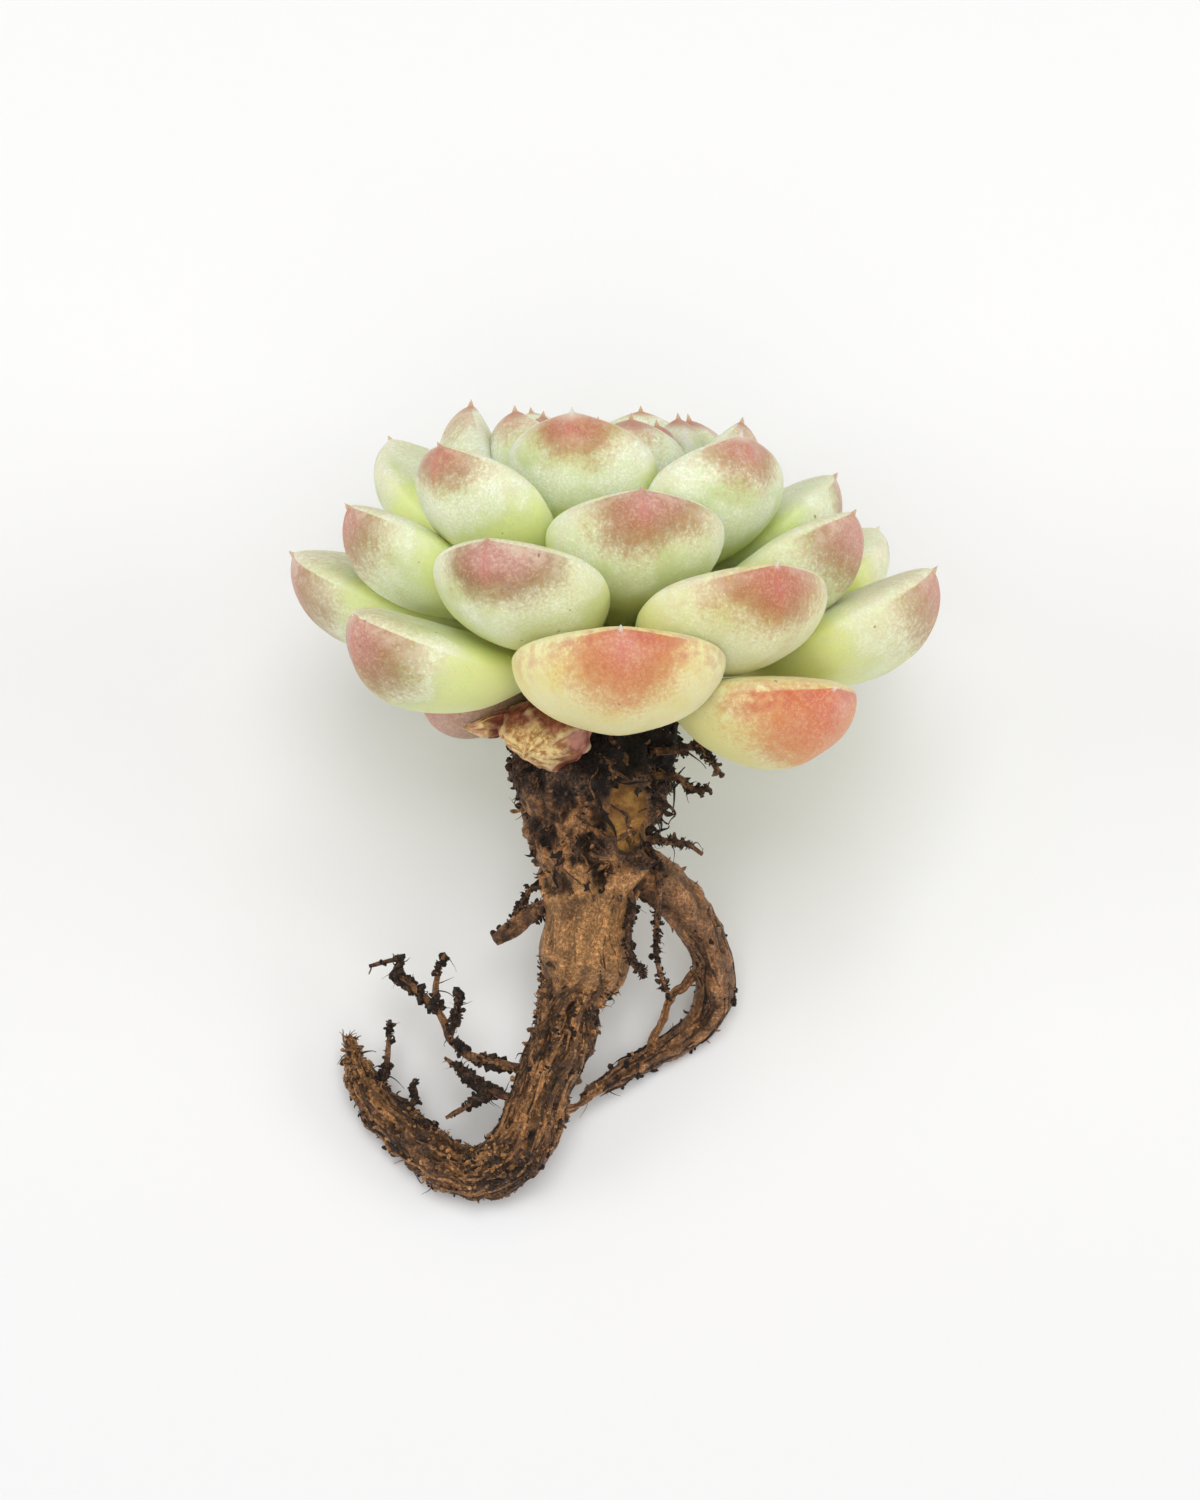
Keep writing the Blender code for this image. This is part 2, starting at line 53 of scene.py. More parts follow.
# Design values of the plant, as in the part
ROSETTE_RADIUS = 32.5
ROSETTE_HEIGHT = 28.2
LEAF_WIDTH = 19.0
LEAF_THICKNESS = 8.6
LEAF_FIRST = -3
LEAF_LAST = 36
GOLDEN_ANGLE = 137.508
SPIRAL_START = 2.0
POINT_LENGTH = 0.8
POINT_RADIUS = 0.30
AXIS_TILT = 29.5
ROSETTE_FOOT = (1.4, 6.55, 23.7)
AXIS_RADIUS = 5.6
STEM_RADIUS = 4.8
COLLAR_RADIUS = 7.4
ROOT_RADIUS = 3.0
LEAF_ROWS = 11               # the part's own coarse leaf skin
LEAF_SIDES = 14
POINT_ROWS = 7               # rows of a fine leaf skin that are on the hard point
STEM_ROWS = 60               # the part's own coarse stem skin
STEM_SIDES = 14
MOST_LIFT = 40.0             # degrees
LIFT_STEP = 0.25
DRAWN_RADIUS = 32.5          # the rosette size that the single leaves' habits were set out at
DRAWN_HEIGHT = 28.2

# Size and place by age: -3 is the oldest leaf, 36 the bud at the heart; radii and heights are shares
AGE = (-3, 6, 11, 16, 21, 27, 33, 38)
REACH = (1.0, 1.0, 0.862, 0.692, 0.477, 0.231, 0.108, 0.04)
RISE_AGE = (-3, 0, 8, 13, 19, 24, 29, 38)
RISE = (0.177, 0.284, 0.553, 0.727, 0.933, 0.968, 0.930, 0.87)
WIDTH_AGE = (-3, 5, 13, 21, 27, 33, 38)
WIDTH = (1.0, 0.95, 0.86, 0.74, 0.60, 0.42, 0.24)
THICK = (1.0, 0.95, 0.84, 0.70, 0.53, 0.38, 0.25)
FOOT_AGE = (-3, 20, 38)
FOOT_RADIUS = (0.9, 0.55, 0.1)
FOOT_HEIGHT = (0.02, 0.32, 0.53)
SLOPE_AGE = (-3, 8, 21, 38)
SLOPE = (-8.0, 12.0, 45.0, 80.0)

# Single leaves: turn, reach, rise, first slope, breadth as a factor, roll
HABIT = {
    -3: (-9.5, -2.4, -4.2, -8.0, 0.95, -6.0),
    -2: (6.0, -13.0, -3.6, -8.0, 0.70, -10.0),
    -1: (0.0, -0.5, 1.0, 0.0, 1.0, 0.0),
    0: (-1.0, -1.5, -0.8, -6.0, 1.09, 0.0),
    1: (0.0, -0.5, 0.5, 0.0, 1.0, 0.0),
    2: (-7.0, -0.1, 1.6, 0.0, 1.0, 4.0),
    3: (-1.5, -0.7, -3.3, -8.0, 0.92, -12.0),
    4: (0.0, -0.6, 0.0, 0.0, 1.0, 0.0),
    5: (-2.5, -3.3, 0.1, 0.0, 1.09, 0.0),
    6: (5.0, 0.6, -1.2, 0.0, 1.0, -4.0),
    8: (-7.0, -1.9, -0.4, 0.0, 1.0, 0.0),
    10: (-1.0, -3.1, -0.3, 0.0, 1.0, 0.0),
    11: (-2.4, -0.4, -0.8, 0.0, 1.0, 0.0),
    13: (-7.4, -4.3, -0.6, 0.0, 1.06, 0.0),
    14: (1.0, 2.7, 2.5, 0.0, 1.0, 0.0),
    15: (0.0, -0.8, -2.0, 0.0, 1.0, 0.0),
    16: (-7.0, 1.5, 0.5, 0.0, 0.97, 0.0),
    18: (-2.0, -2.2, -0.4, 0.0, 1.18, 0.0),
    19: (0.0, -4.1, 1.5, 0.0, 1.0, 0.0),
    20: (0.0, -6.9, -0.2, 0.0, 1.0, 0.0),
    21: (-9.0, 0.8, 0.5, 0.0, 1.06, 0.0),
    23: (-2.0, 0.2, -1.0, 0.0, 1.0, 0.0),
    26: (-15.0, -0.8, -0.3, 0.0, 1.0, 0.0),
}
PLAIN_HABIT = (0.0, 0.0, 0.0, 0.0, 1.0, 0.0)

# Dried leaves: azimuth, foot radius, foot height, reach, rise, width, thickness, first slope
WITHERED = {
    "withered_leaf_1": (-35.0, 4.6, -1.0, 15.4, -7.0, 10.4, 7.0, -14.0),
    "withered_leaf_2": (-62.0, 4.6, -0.6, 17.0, -4.4, 6.0, 2.8, -20.0),
}

# How single leaves are flushed: strength, coral share, yellow share, centre across, reach as a factor
FLUSH = {
    -3: (1.0, 1.0, 0.80, 0.20, 1.50), -2: (1.0, 0.0, 0.30, 0.0, 3.0), -1: (0.5, 0.3, 0.3, 0.0, 1.0),
    0: (1.0, 0.85, 1.00, 0.35, 0.95), 1: (0.6, 0.3, 0.3, 0.0, 1.0), 2: (0.85, 0.20, 0.25, 0.0, 1.15),
    3: (1.0, 0.14, 0.15, -0.20, 1.42), 4: (0.6, 0.3, 0.3, 0.0, 1.0), 5: (0.95, 0.38, 0.50, 0.30, 1.05),
    6: (0.95, 0.10, 0.10, 0.0, 1.45), 7: (0.8, 0.3, 0.2, 0.0, 1.1), 8: (1.0, 0.05, 0.20, 0.50, 1.05),
    10: (0.9, 0.15, 0.10, 0.0, 1.35), 11: (0.9, 0.10, 0.10, 0.0, 1.15), 13: (1.0, 0.22, 0.20, 0.40, 1.0),
    15: (0.75, 0.10, 0.0, 0.0, 1.0), 16: (0.9, 0.20, 0.10, 0.0, 1.0), 18: (0.85, 0.30, 0.10, 0.0, 0.85),
    21: (0.85, 0.35, 0.05, 0.0, 1.0),
}
PLAIN_FLUSH = (0.6, 0.2, 0.05, 0.0, 1.0)
HEART_FIRST = 24             # from this leaf on, the leaves are small
LARGE_GRID = (84, 72)        # rows along a leaf and points round it
HEART_GRID = (48, 44)
WITHERED_GRID = (90, 110)

OCHRE_PATCH = (2.7, -8.0, 22.6)      # smooth bare patch on the collar where old leaves came away
OCHRE_SIZE = (2.1, 4.0, 4.0)
STEM_GRID = (560, 160)       # rings along the stem and main root, and points round them
SKEW_UP = (0.13, 0.21, 0.97)         # "up" for loose hairs, which never run quite along it
SLIM_ROOT = 0.72             # share of a thin root's thickness that is root; the rest is soil
FLAKE_LEAN = 1.6             # how far bark flakes may turn from the root's length, radians


# ---------------------------------------------------------------- numbers that vary smoothly in space

def lattice(corner, seed):
    """Repeatable pseudo-random number from 0 to 1 at whole-number lattice corners (n, 3)."""
    key = corner[..., 0] * 127.1 + corner[..., 1] * 311.7 + corner[..., 2] * 74.7 + seed * 53.3
    return np.modf(np.abs(np.sin(key) * 43758.5453))[0]


def grain(points, size, seed):
    """Value noise, -1 to 1: lattice numbers a given size apart, joined by smooth steps."""
    scaled = points / size + 100.0
    corner = np.floor(scaled)
    part = scaled - corner
    part = part * part * (3.0 - 2.0 * part)
    total = 0.0
    for dx in (0.0, 1.0):
        for dy in (0.0, 1.0):
            for dz in (0.0, 1.0):
                weight = (np.abs(1.0 - dx - part[..., 0]) * np.abs(1.0 - dy - part[..., 1])
                          * np.abs(1.0 - dz - part[..., 2]))
                total = total + weight * lattice(corner + np.array((dx, dy, dz)), seed)
    return total * 2.0 - 1.0


def layered(points, size, seed, layers=3):
    """Sum of value noises, each half the size and half the strength of the one before."""
    total = 0.0
    for n in range(layers):
        total = total + grain(points, size * 0.5 ** n, seed + 7.0 * n) * 0.5 ** n
    return total / (2.0 - 0.5 ** (layers - 1))


def step(low, high, value):
    """Smooth rise from 0 at low to 1 at high."""
    x = np.clip((value - low) / (high - low), 0.0, 1.0)
    return x * x * (3.0 - 2.0 * x)


# ---------------------------------------------------------------- meshes from grids

def axis_frame():
    """Unit vectors of the rosette: across, upper front, along the growing axis."""
    tilt = math.radians(AXIS_TILT)
    return (np.array((1.0, 0.0, 0.0)), np.array((0.0, -math.sin(tilt), math.cos(tilt))),
            np.array((0.0, math.cos(tilt), math.sin(tilt))))


def ring_faces(count, sides, start=0):
    """Faces of a closed skin over rings of points: quads between rings, a fan on each end."""
    row, col = np.meshgrid(np.arange(count - 1), np.arange(sides), indexing="ij")
    nxt = (col + 1) % sides
    walls = np.stack((row * sides + col, row * sides + nxt, (row + 1) * sides + nxt,
                      (row + 1) * sides + col), axis=2).reshape(-1, 4) + start
    i = np.arange(sides)
    j = (i + 1) % sides
    first = np.stack((np.full(sides, count * sides), j, i), axis=1) + start
    last = np.stack((np.full(sides, count * sides + 1), (count - 1) * sides + i,
                     (count - 1) * sides + j), axis=1) + start
    return walls, np.concatenate((first, last))


def ring_points(rings):
    """Points of the rings with the two end centres added."""
    return np.concatenate((rings.reshape(-1, 3), rings[0].mean(axis=0)[None], rings[-1].mean(axis=0)[None]))


def ring_values(values):
    """A value per ring point, with the two end centres added."""
    return np.concatenate((values.reshape(-1), [values[0].mean()], [values[-1].mean()]))


def make_piece(name, points, walls, fans, marks, material, nodes=()):
    """A mesh object from points in millimetres, with named float values on its points.

    Nothing reaches below the surface that the plant lies on. The piece stands for the nodes named.
    """
    mesh = bpy.data.meshes.new(name)
    placed = (points + SHIFT) * MM
    placed[:, 2] = np.maximum(placed[:, 2], 0.0)
    corners = np.concatenate((walls.reshape(-1), fans.reshape(-1))).astype(np.int32)
    totals = np.concatenate((np.full(len(walls), 4), np.full(len(fans), 3)))
    starts = np.concatenate(([0], np.cumsum(totals)[:-1])).astype(np.int32)
    mesh.vertices.add(len(placed))
    mesh.vertices.foreach_set("co", placed.reshape(-1))
    mesh.loops.add(len(corners))
    mesh.loops.foreach_set("vertex_index", corners)
    mesh.polygons.add(len(totals))
    mesh.polygons.foreach_set("loop_start", starts)
    mesh.update(calc_edges=True)
    mesh.validate()
    mesh.polygons.foreach_set("use_smooth", np.ones(len(mesh.polygons), dtype=bool))
    for key, values in marks.items():
        carried = mesh.attributes.new(key, "FLOAT", "POINT")
        carried.data.foreach_set("value", np.asarray(values, dtype=np.float32))
    mesh.materials.append(material)
    piece = bpy.data.objects.new(name, mesh)
    bpy.context.scene.collection.objects.link(piece)
    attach(piece, "root")
    if nodes:
        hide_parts(*nodes)
    return piece


def join_rings(parts):
    """Several ring skins as one set of points and faces, with their values joined."""
    points, walls, fans, values = [], [], [], {}
    start = 0
    for rings, marks in parts:
        count, sides, _ = rings.shape
        w, f = ring_faces(count, sides, start)
        points.append(ring_points(rings))
        walls.append(w)
        fans.append(f)
        start += count * sides + 2
        for key, value in marks.items():
            values.setdefault(key, []).append(ring_values(value))
    joined = {key: np.concatenate(value) for key, value in values.items()}
    return np.concatenate(points), np.concatenate(walls), np.concatenate(fans), joined


# ---------------------------------------------------------------- leaves

def leaf_form(index):
    """Size and lie of one leaf, from its place in the spiral and its own habit."""
    turn, reach, rise, slope, breadth, roll = HABIT.get(index, PLAIN_HABIT)
    spread = ROSETTE_RADIUS / DRAWN_RADIUS
    height = ROSETTE_HEIGHT / DRAWN_HEIGHT
    return {
        "azimuth": SPIRAL_START - GOLDEN_ANGLE * index + turn,
        "reach": ROSETTE_RADIUS * np.interp(index, AGE, REACH) + reach * spread,
        "rise": ROSETTE_HEIGHT * np.interp(index, RISE_AGE, RISE) + rise * height,
        "width": LEAF_WIDTH * np.interp(index, WIDTH_AGE, WIDTH) * breadth,
        "thick": LEAF_THICKNESS * np.interp(index, WIDTH_AGE, THICK),
        "foot": AXIS_RADIUS * np.interp(index, FOOT_AGE, FOOT_RADIUS),
        "level": ROSETTE_HEIGHT * np.interp(index, FOOT_AGE, FOOT_HEIGHT),
        "slope": np.interp(index, SLOPE_AGE, SLOPE) + slope,
        "roll": roll,
    }


def swelling(run, foot, widest, end, power):
    """Half breadth along a leaf: sine-squared rise from the foot, then a pointed arch to the end."""
    opening = foot + (1.0 - foot) * np.sin(0.5 * np.pi * np.clip(run / widest, 0.0, 1.0)) ** 2
    past = np.clip((run - widest) / (end - widest), 0.0, 1.0)
    return opening * np.clip(1.0 - past ** 2.1, 0.0, 1.0) ** power


def leaf_points(form, rows, sides):
    """Leaf skin over (run, angle): an uneven ellipse, flat above and deep below, along a bent line.

    Returns points (rows, sides, 3) as sideways, outward, up; the run; the cosine and sine round it.
    """
    foot = np.array((form["foot"], form["level"]))
    tip = np.array((form["reach"], form["rise"]))
    chord = math.hypot(tip[0] - foot[0], tip[1] - foot[1])
    end = 1.0 - POINT_LENGTH / chord
    coarse = rows == LEAF_ROWS
    beyond = 1 if coarse else POINT_ROWS
    q = np.linspace(0.0, 1.0, rows - beyond)
    run = end * (0.45 * q + 0.55 * np.sin(0.5 * np.pi * q))
    run = np.append(run, end + (1.0 - end) * np.linspace(0.0, 1.0, beyond + 1)[1:])
    slope = math.radians(form["slope"])
    bend = foot + 0.62 * chord * np.array((math.cos(slope), math.sin(slope)))
    line = np.outer((1.0 - run) ** 2, foot) + np.outer(2.0 * run * (1.0 - run), bend)
    line = line + np.outer(run ** 2, tip)
    way = np.outer(2.0 * (1.0 - run), bend - foot) + np.outer(2.0 * run, tip - bend)
    way = way / np.linalg.norm(way, axis=1)[:, None]
    inward = np.stack((-way[:, 1], way[:, 0]), axis=1)
    if coarse:
        knob = 0.40 + 0.60 * np.clip((1.0 - run) * chord / (0.5 * POINT_LENGTH), 0.0, 1.0) ** 0.5
    else:
        knob = 0.02 + 0.98 * np.clip((1.0 - run) * chord / (1.1 * POINT_LENGTH), 0.0, 1.0) ** 0.85
    knob = POINT_RADIUS * min(1.0, form["width"] / 11.0) * knob
    blunt = 0.5 * form["width"] * swelling(run, 0.24, 0.62, end, 0.76)
    half = (blunt ** 2 + knob ** 2) ** 0.5
    blunt = form["thick"] * swelling(run, 0.30, 0.58, end, 0.62)
    deep = (blunt ** 2 + (2.0 * knob) ** 2) ** 0.5
    angle = np.linspace(0.0, 2.0 * np.pi, sides, endpoint=False)
    cosine = np.cos(angle)
    sine = np.sin(angle)
    share = np.where(sine > 0.0, 0.30, 0.70)
    breadth = half[:, None] * cosine
    near_end = step(0.35, 0.85, run)
    trough = 0.9 * near_end[:, None] * (breadth / (0.5 * form["width"])) ** 2
    keel = 0.10 * near_end[:, None] * np.where(sine < 0.0, np.exp(-(cosine / 0.28) ** 2), 0.0)
    above = deep[:, None] * (share * sine)[None, :] + trough - keel * deep[:, None]
    roll = math.radians(form["roll"]) * np.clip(run / 0.5, 0.0, 1.0)[:, None]
    breadth, above = (breadth * np.cos(roll) - above * np.sin(roll),
                      breadth * np.sin(roll) + above * np.cos(roll))
    out = line[:, 0:1] + inward[:, 0:1] * above
    up = line[:, 1:2] + inward[:, 1:2] * above
    return np.stack((breadth, out, up), axis=2), run, cosine, sine


def rosette_place(points, azimuth, lift):
    """Turn (sideways, outward, up) leaf points about the axis and into the resting pose."""
    across, front, along = axis_frame()
    turn = math.radians(azimuth)
    outward = math.sin(turn) * across + math.cos(turn) * front
    sideways = math.cos(turn) * across - math.sin(turn) * front
    pivot = points[0].mean(axis=0)
    tilt = math.radians(lift)
    out = points[..., 1] - pivot[1]
    up = points[..., 2] - pivot[2]
    out, up = out * math.cos(tilt) - up * math.sin(tilt), out * math.sin(tilt) + up * math.cos(tilt)
    out = out + pivot[1]
    up = up + pivot[2]
    placed = points[..., 0, None] * sideways + out[..., None] * outward + up[..., None] * along
    return placed + np.array(ROSETTE_FOOT)


def leaf_lift(form):
    """Degrees a leaf is bent up about its foot so that it lies on the surface, not below it."""
    points = leaf_points(form, LEAF_ROWS, LEAF_SIDES)[0]
    lift = 0.0
    while lift < MOST_LIFT and rosette_place(points, form["azimuth"], lift)[..., 2].min() < 0.0:
        lift += LIFT_STEP
    return lift


def plump_leaf(index, material):
    """One living leaf: the leaf skin with faint hollows, and values that say where its flush lies."""
    form = leaf_form(index)
    node = "leaf_%02d" % (index - LEAF_FIRST + 1)
    rows, sides = LARGE_GRID if index < HEART_FIRST else HEART_GRID
    local, run, cosine, sine = leaf_points(form, rows, sides)
    place = local + np.array((31.0 * index, 0.0, 0.0))
    uneven = 0.10 * layered(place, 6.0, index) + 0.03 * grain(place, 1.6, index + 0.5)
    uneven = uneven * step(0.0, 0.15, run)[:, None] * step(1.0, 0.93, run)[:, None]
    middle = local.mean(axis=1, keepdims=True)
    outward = local - middle
    outward = outward / np.maximum(np.linalg.norm(outward, axis=2, keepdims=True), 1e-6)
    local = local + outward * uneven[..., None]
    rings = rosette_place(local, form["azimuth"], leaf_lift(form))
    strength, coral, yellow, centre, spread = FLUSH.get(index, PLAIN_FLUSH)
    run_grid = np.repeat(run[:, None], sides, axis=1)
    side = np.repeat(cosine[None, :], rows, axis=0)
    under = np.repeat(sine[None, :], rows, axis=0)
    wobble = 0.13 * layered(place, 7.0, index + 3.0)
    across_mm = local[..., 0] + 40.0 * index
    along_mm = run_grid * form["reach"] + np.where(under > 0.0, 300.0, 0.0)
    tip = np.array((0.0, form["reach"], form["rise"]))
    away = np.linalg.norm(local - tip, axis=2) / form["width"] + wobble - 0.16 * centre * side
    flush = step(0.62, 0.16, away / spread) * np.where(under > 0.0, 0.45, 1.0) * strength
    upper = step(0.34, 0.10, away / spread)
    rim = step(0.80, 0.97, np.abs(side)) * step(0.60, 0.75, run_grid) * step(1.0, 0.94, run_grid)
    near_foot = step(0.45, 0.95, away)
    crease = np.exp(-(side / 0.16) ** 2) * (under < 0.0) * step(0.84, 0.96, run_grid)
    tip_way = (1.0 - run_grid) * form["reach"]
    hard = step(1.3 * POINT_LENGTH, 0.6 * POINT_LENGTH, tip_way)
    marks = {
        "flush": flush, "upper": upper, "rim": rim, "foot": near_foot, "hard": hard, "crease": crease,
        "coral": np.full_like(flush, coral), "yellow": np.full_like(flush, yellow),
        "young": np.full_like(flush, step(10.0, 30.0, float(index))),
        "across_mm": across_mm, "along_mm": along_mm,
    }
    walls, fans = ring_faces(rows, sides)
    values = {key: ring_values(value) for key, value in marks.items()}
    return make_piece("skin_" + node, ring_points(rings), walls, fans, values, material, (node,))


def withered_leaf(name, material):
    """A dried leaf: the leaf skin, shrunk between lengthwise folds and crumpled at its end."""
    azimuth, foot, level, reach, rise, width, thick, slope = WITHERED[name]
    form = {"azimuth": azimuth, "foot": foot, "level": level, "reach": reach, "rise": rise,
            "width": width, "thick": thick, "slope": slope, "roll": 0.0}
    rows, sides = WITHERED_GRID
    local, run, cosine, sine = leaf_points(form, rows, sides)
    fold = np.sin(9.0 * np.arctan2(sine, cosine)[None, :] + 3.0 * grain(local, 2.2, 5.0))
    crumple = layered(local, 1.5, 11.0, 4)
    middle = local.mean(axis=1, keepdims=True)
    outward = local - middle
    size = np.linalg.norm(outward, axis=2, keepdims=True)
    outward = outward / np.maximum(size, 1e-6)
    fade = step(0.0, 0.2, run)[:, None] * step(1.0, 0.96, run)[:, None]
    change = (0.20 * fold + 0.55 * crumple - 0.25) * fade
    local = local + outward * np.maximum(change, -0.6 * size[..., 0])[..., None]
    rings = rosette_place(local, azimuth, leaf_lift(form))
    run_grid = np.repeat(run[:, None], sides, axis=1)
    # The fold mark is the crumpling's height; the material turns it into painted highlight and painted shade.
    marks = {"run": run_grid, "fold": np.clip(0.5 + 0.5 * crumple + 0.2 * fold, 0.0, 1.0)}
    walls, fans = ring_faces(rows, sides)
    values = {key: ring_values(value) for key, value in marks.items()}
    return make_piece("skin_" + name, ring_points(rings), walls, fans, values, material,
                      (name,))


# ---------------------------------------------------------------- stem and roots

def smooth_route(route, steps):
    """Catmull-Rom curve through (x, y, z, radius) points, as centres and radii."""
    route = np.array(route, dtype=float)
    padded = np.concatenate((2.0 * route[:1] - route[1:2], route, 2.0 * route[-1:] - route[-2:-1]))
    spans = len(route) - 1
    where = np.linspace(0.0, spans, steps)
    left = np.minimum(where.astype(int), spans - 1)
    part = (where - left)[:, None]
    a, b, c, d = padded[left], padded[left + 1], padded[left + 2], padded[left + 3]
    line = 0.5 * (2.0 * b + (c - a) * part + (2.0 * a - 5.0 * b + 4.0 * c - d) * part ** 2
                  + (3.0 * b - a - 3.0 * c + d) * part ** 3)
    return line[:, :3], line[:, 3]


def route_frames(centre):
    """Unit tangents and two crosswise directions carried along a route without twisting."""
    way = np.gradient(centre, axis=0)
    way = way / np.linalg.norm(way, axis=1)[:, None]
    first = np.cross(way[0], (0.3, 0.2, 1.0))
    first = first / np.linalg.norm(first)
    one = np.zeros_like(way)
    for i in range(len(way)):
        first = first - way[i] * np.dot(first, way[i])
        first = first / np.linalg.norm(first)
        one[i] = first
    return way, one, np.cross(way, one)


def tube(route, steps, sides, shape=None, lumps=0.05, seed=1.0):
    """Skin of circles carried along a route; shape(points, s, angle) gives extra radius in mm."""
    centre, radius = smooth_route(route, steps)
    _, one, two = route_frames(centre)
    angle = np.linspace(0.0, 2.0 * np.pi, sides, endpoint=False)
    s = np.linspace(0.0, 1.0, steps)
    out = np.cos(angle)[None, :, None] * one[:, None, :] + np.sin(angle)[None, :, None] * two[:, None, :]
    plain = centre[:, None, :] + out * radius[:, None, None]
    reach = radius[:, None] * (1.0 + lumps * grain(plain, 4.0, seed))
    if shape is not None:
        reach = reach + shape(plain, np.repeat(s[:, None], sides, axis=1), angle[None, :])
    reach = np.maximum(reach, 0.25 * radius[:, None])
    return centre[:, None, :] + out * reach[..., None]


def coarse_stem():
    """The stem as the part has it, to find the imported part's place."""
    centre, radius = smooth_route(STEM_ROUTE, STEM_ROWS)
    way = np.gradient(centre, axis=0)
    way = way / np.linalg.norm(way, axis=1)[:, None]
    first = np.cross(way[0], (0.3, 0.2, 1.0))
    first = first / np.linalg.norm(first)
    turn = np.linspace(0.0, 2.0 * np.pi, STEM_SIDES, endpoint=False)
    rings = np.zeros((STEM_ROWS, STEM_SIDES, 3))
    for i in range(STEM_ROWS):
        first = first - way[i] * np.dot(first, way[i])
        first = first / np.linalg.norm(first)
        second = np.cross(way[i], first)
        wave = np.sin(2.0 * turn + 0.9 * i + 0.7) + 0.7 * np.sin(3.0 * turn - 1.3 * i + 1.4)
        reach = radius[i] * (1.0 + 0.035 * wave)
        rings[i] = centre[i] + np.outer(np.cos(turn) * reach, first) + np.outer(np.sin(turn) * reach, second)
    return rings


_, _, ALONG = axis_frame()
BASE = np.array(ROSETTE_FOOT)

# Routes: x, y, z and radius along the stem, the roots and their branches
STEM_ROUTE = [
    tuple(BASE + ALONG * 0.56 * ROSETTE_HEIGHT) + (0.5,),
    tuple(BASE + ALONG * 0.42 * ROSETTE_HEIGHT) + (AXIS_RADIUS * 0.27,),
    tuple(BASE + ALONG * 0.22 * ROSETTE_HEIGHT) + (AXIS_RADIUS * 0.62,),
    tuple(BASE) + (AXIS_RADIUS,),
    (0.4, 1.8, 21.5, COLLAR_RADIUS * 0.94),
    (-0.5, -2.1, 19.6, COLLAR_RADIUS),
    (-0.8, -7.2, 17.3, COLLAR_RADIUS * 0.84),
    (-0.9, -11.8, 15.3, STEM_RADIUS),
    (-1.1, -15.4, 13.6, STEM_RADIUS * 0.90),
    (-1.7, -19.4, 11.9, STEM_RADIUS * 0.94),
    (-2.4, -21.4, 11.1, ROOT_RADIUS * 1.2),
    (-3.2, -23.4, 10.2, ROOT_RADIUS * 1.0),
    (-4.0, -27.0, 8.4, ROOT_RADIUS * 1.02),
    (-5.8, -30.9, 6.8, ROOT_RADIUS * 0.90),
    (-7.2, -34.7, 5.0, ROOT_RADIUS),
    (-9.0, -37.2, 3.6, ROOT_RADIUS * 0.95),
    (-12.0, -38.4, 2.7, ROOT_RADIUS * 0.88),
    (-14.8, -37.6, 2.4, ROOT_RADIUS * 0.80),
    (-17.7, -35.6, 2.4, ROOT_RADIUS * 0.76),
    (-20.9, -32.6, 2.6, ROOT_RADIUS * 0.72),
    (-23.6, -29.2, 2.9, ROOT_RADIUS * 0.55),
    (-24.8, -26.2, 3.4, ROOT_RADIUS * 0.38),
    (-25.2, -24.2, 3.6, ROOT_RADIUS * 0.18),
]
SIDE_ROUTE = [
    (0.4, -8.2, 16.6, 2.0), (3.4, -10.4, 15.8, 2.3), (6.4, -12.0, 14.0, 2.3),
    (9.0, -13.8, 11.0, 2.2), (10.9, -16.0, 7.2, 2.05), (11.6, -18.8, 3.6, 1.95),
    (10.6, -21.4, 1.95, 1.7), (7.8, -23.9, 1.5, 1.4), (4.2, -26.2, 1.8, 1.1),
    (0.6, -28.7, 2.6, 0.8), (-1.8, -30.6, 3.2, 0.5),
]
SIDE_TWIG = [
    (10.4, -16.4, 5.0, 0.45), (8.6, -18.8, 4.3, 0.40), (7.2, -20.0, 4.0, 0.42), (6.2, -22.6, 3.2, 0.36),
    (4.6, -25.4, 2.0, 0.30),
]
SIDE_TAIL = [
    (1.4, -28.2, 2.5, 0.45), (-0.8, -29.9, 2.9, 0.42), (-2.4, -31.6, 3.6, 0.34), (-4.0, -32.6, 4.4, 0.25),
]
STUB_ROUTE = [
    (-1.0, -13.4, 15.2, 1.3), (-4.0, -13.9, 14.2, 1.0), (-6.8, -14.4, 12.6, 0.85),
    (-9.0, -15.5, 11.2, 0.85), (-10.6, -16.3, 10.4, 0.6),
]
STUB_TWIG = [(-8.0, -14.9, 12.0, 0.5), (-7.9, -13.3, 12.4, 0.35), (-6.9, -11.7, 13.0, 0.22)]
TANGLE_ROUTE = [
    (-6.0, -29.3, 7.4, 0.7), (-9.2, -28.9, 8.0, 0.62), (-12.8, -28.0, 8.4, 0.6),
    (-14.9, -26.3, 8.4, 0.58), (-16.1, -23.4, 8.4, 0.55), (-18.9, -20.4, 8.2, 0.5),
    (-20.6, -19.0, 8.0, 0.45), (-20.4, -17.6, 8.2, 0.36), (-23.3, -18.2, 8.0, 0.26),
]
TANGLE_TWIG_1 = [
    (-16.0, -23.6, 8.4, 0.4), (-16.5, -21.2, 9.2, 0.33), (-16.1, -19.0, 9.6, 0.3),
    (-15.6, -17.6, 9.8, 0.2),
]
TANGLE_TWIG_2 = [(-15.0, -26.3, 8.4, 0.4), (-14.5, -23.8, 8.8, 0.3), (-14.2, -21.3, 9.2, 0.2)]
LOWER_ROUTE = [
    (-6.0, -31.7, 6.4, 0.6), (-8.8, -31.8, 6.8, 0.55), (-11.6, -30.8, 6.8, 0.5),
    (-13.8, -28.9, 6.6, 0.45), (-15.6, -27.4, 6.4, 0.28),
]
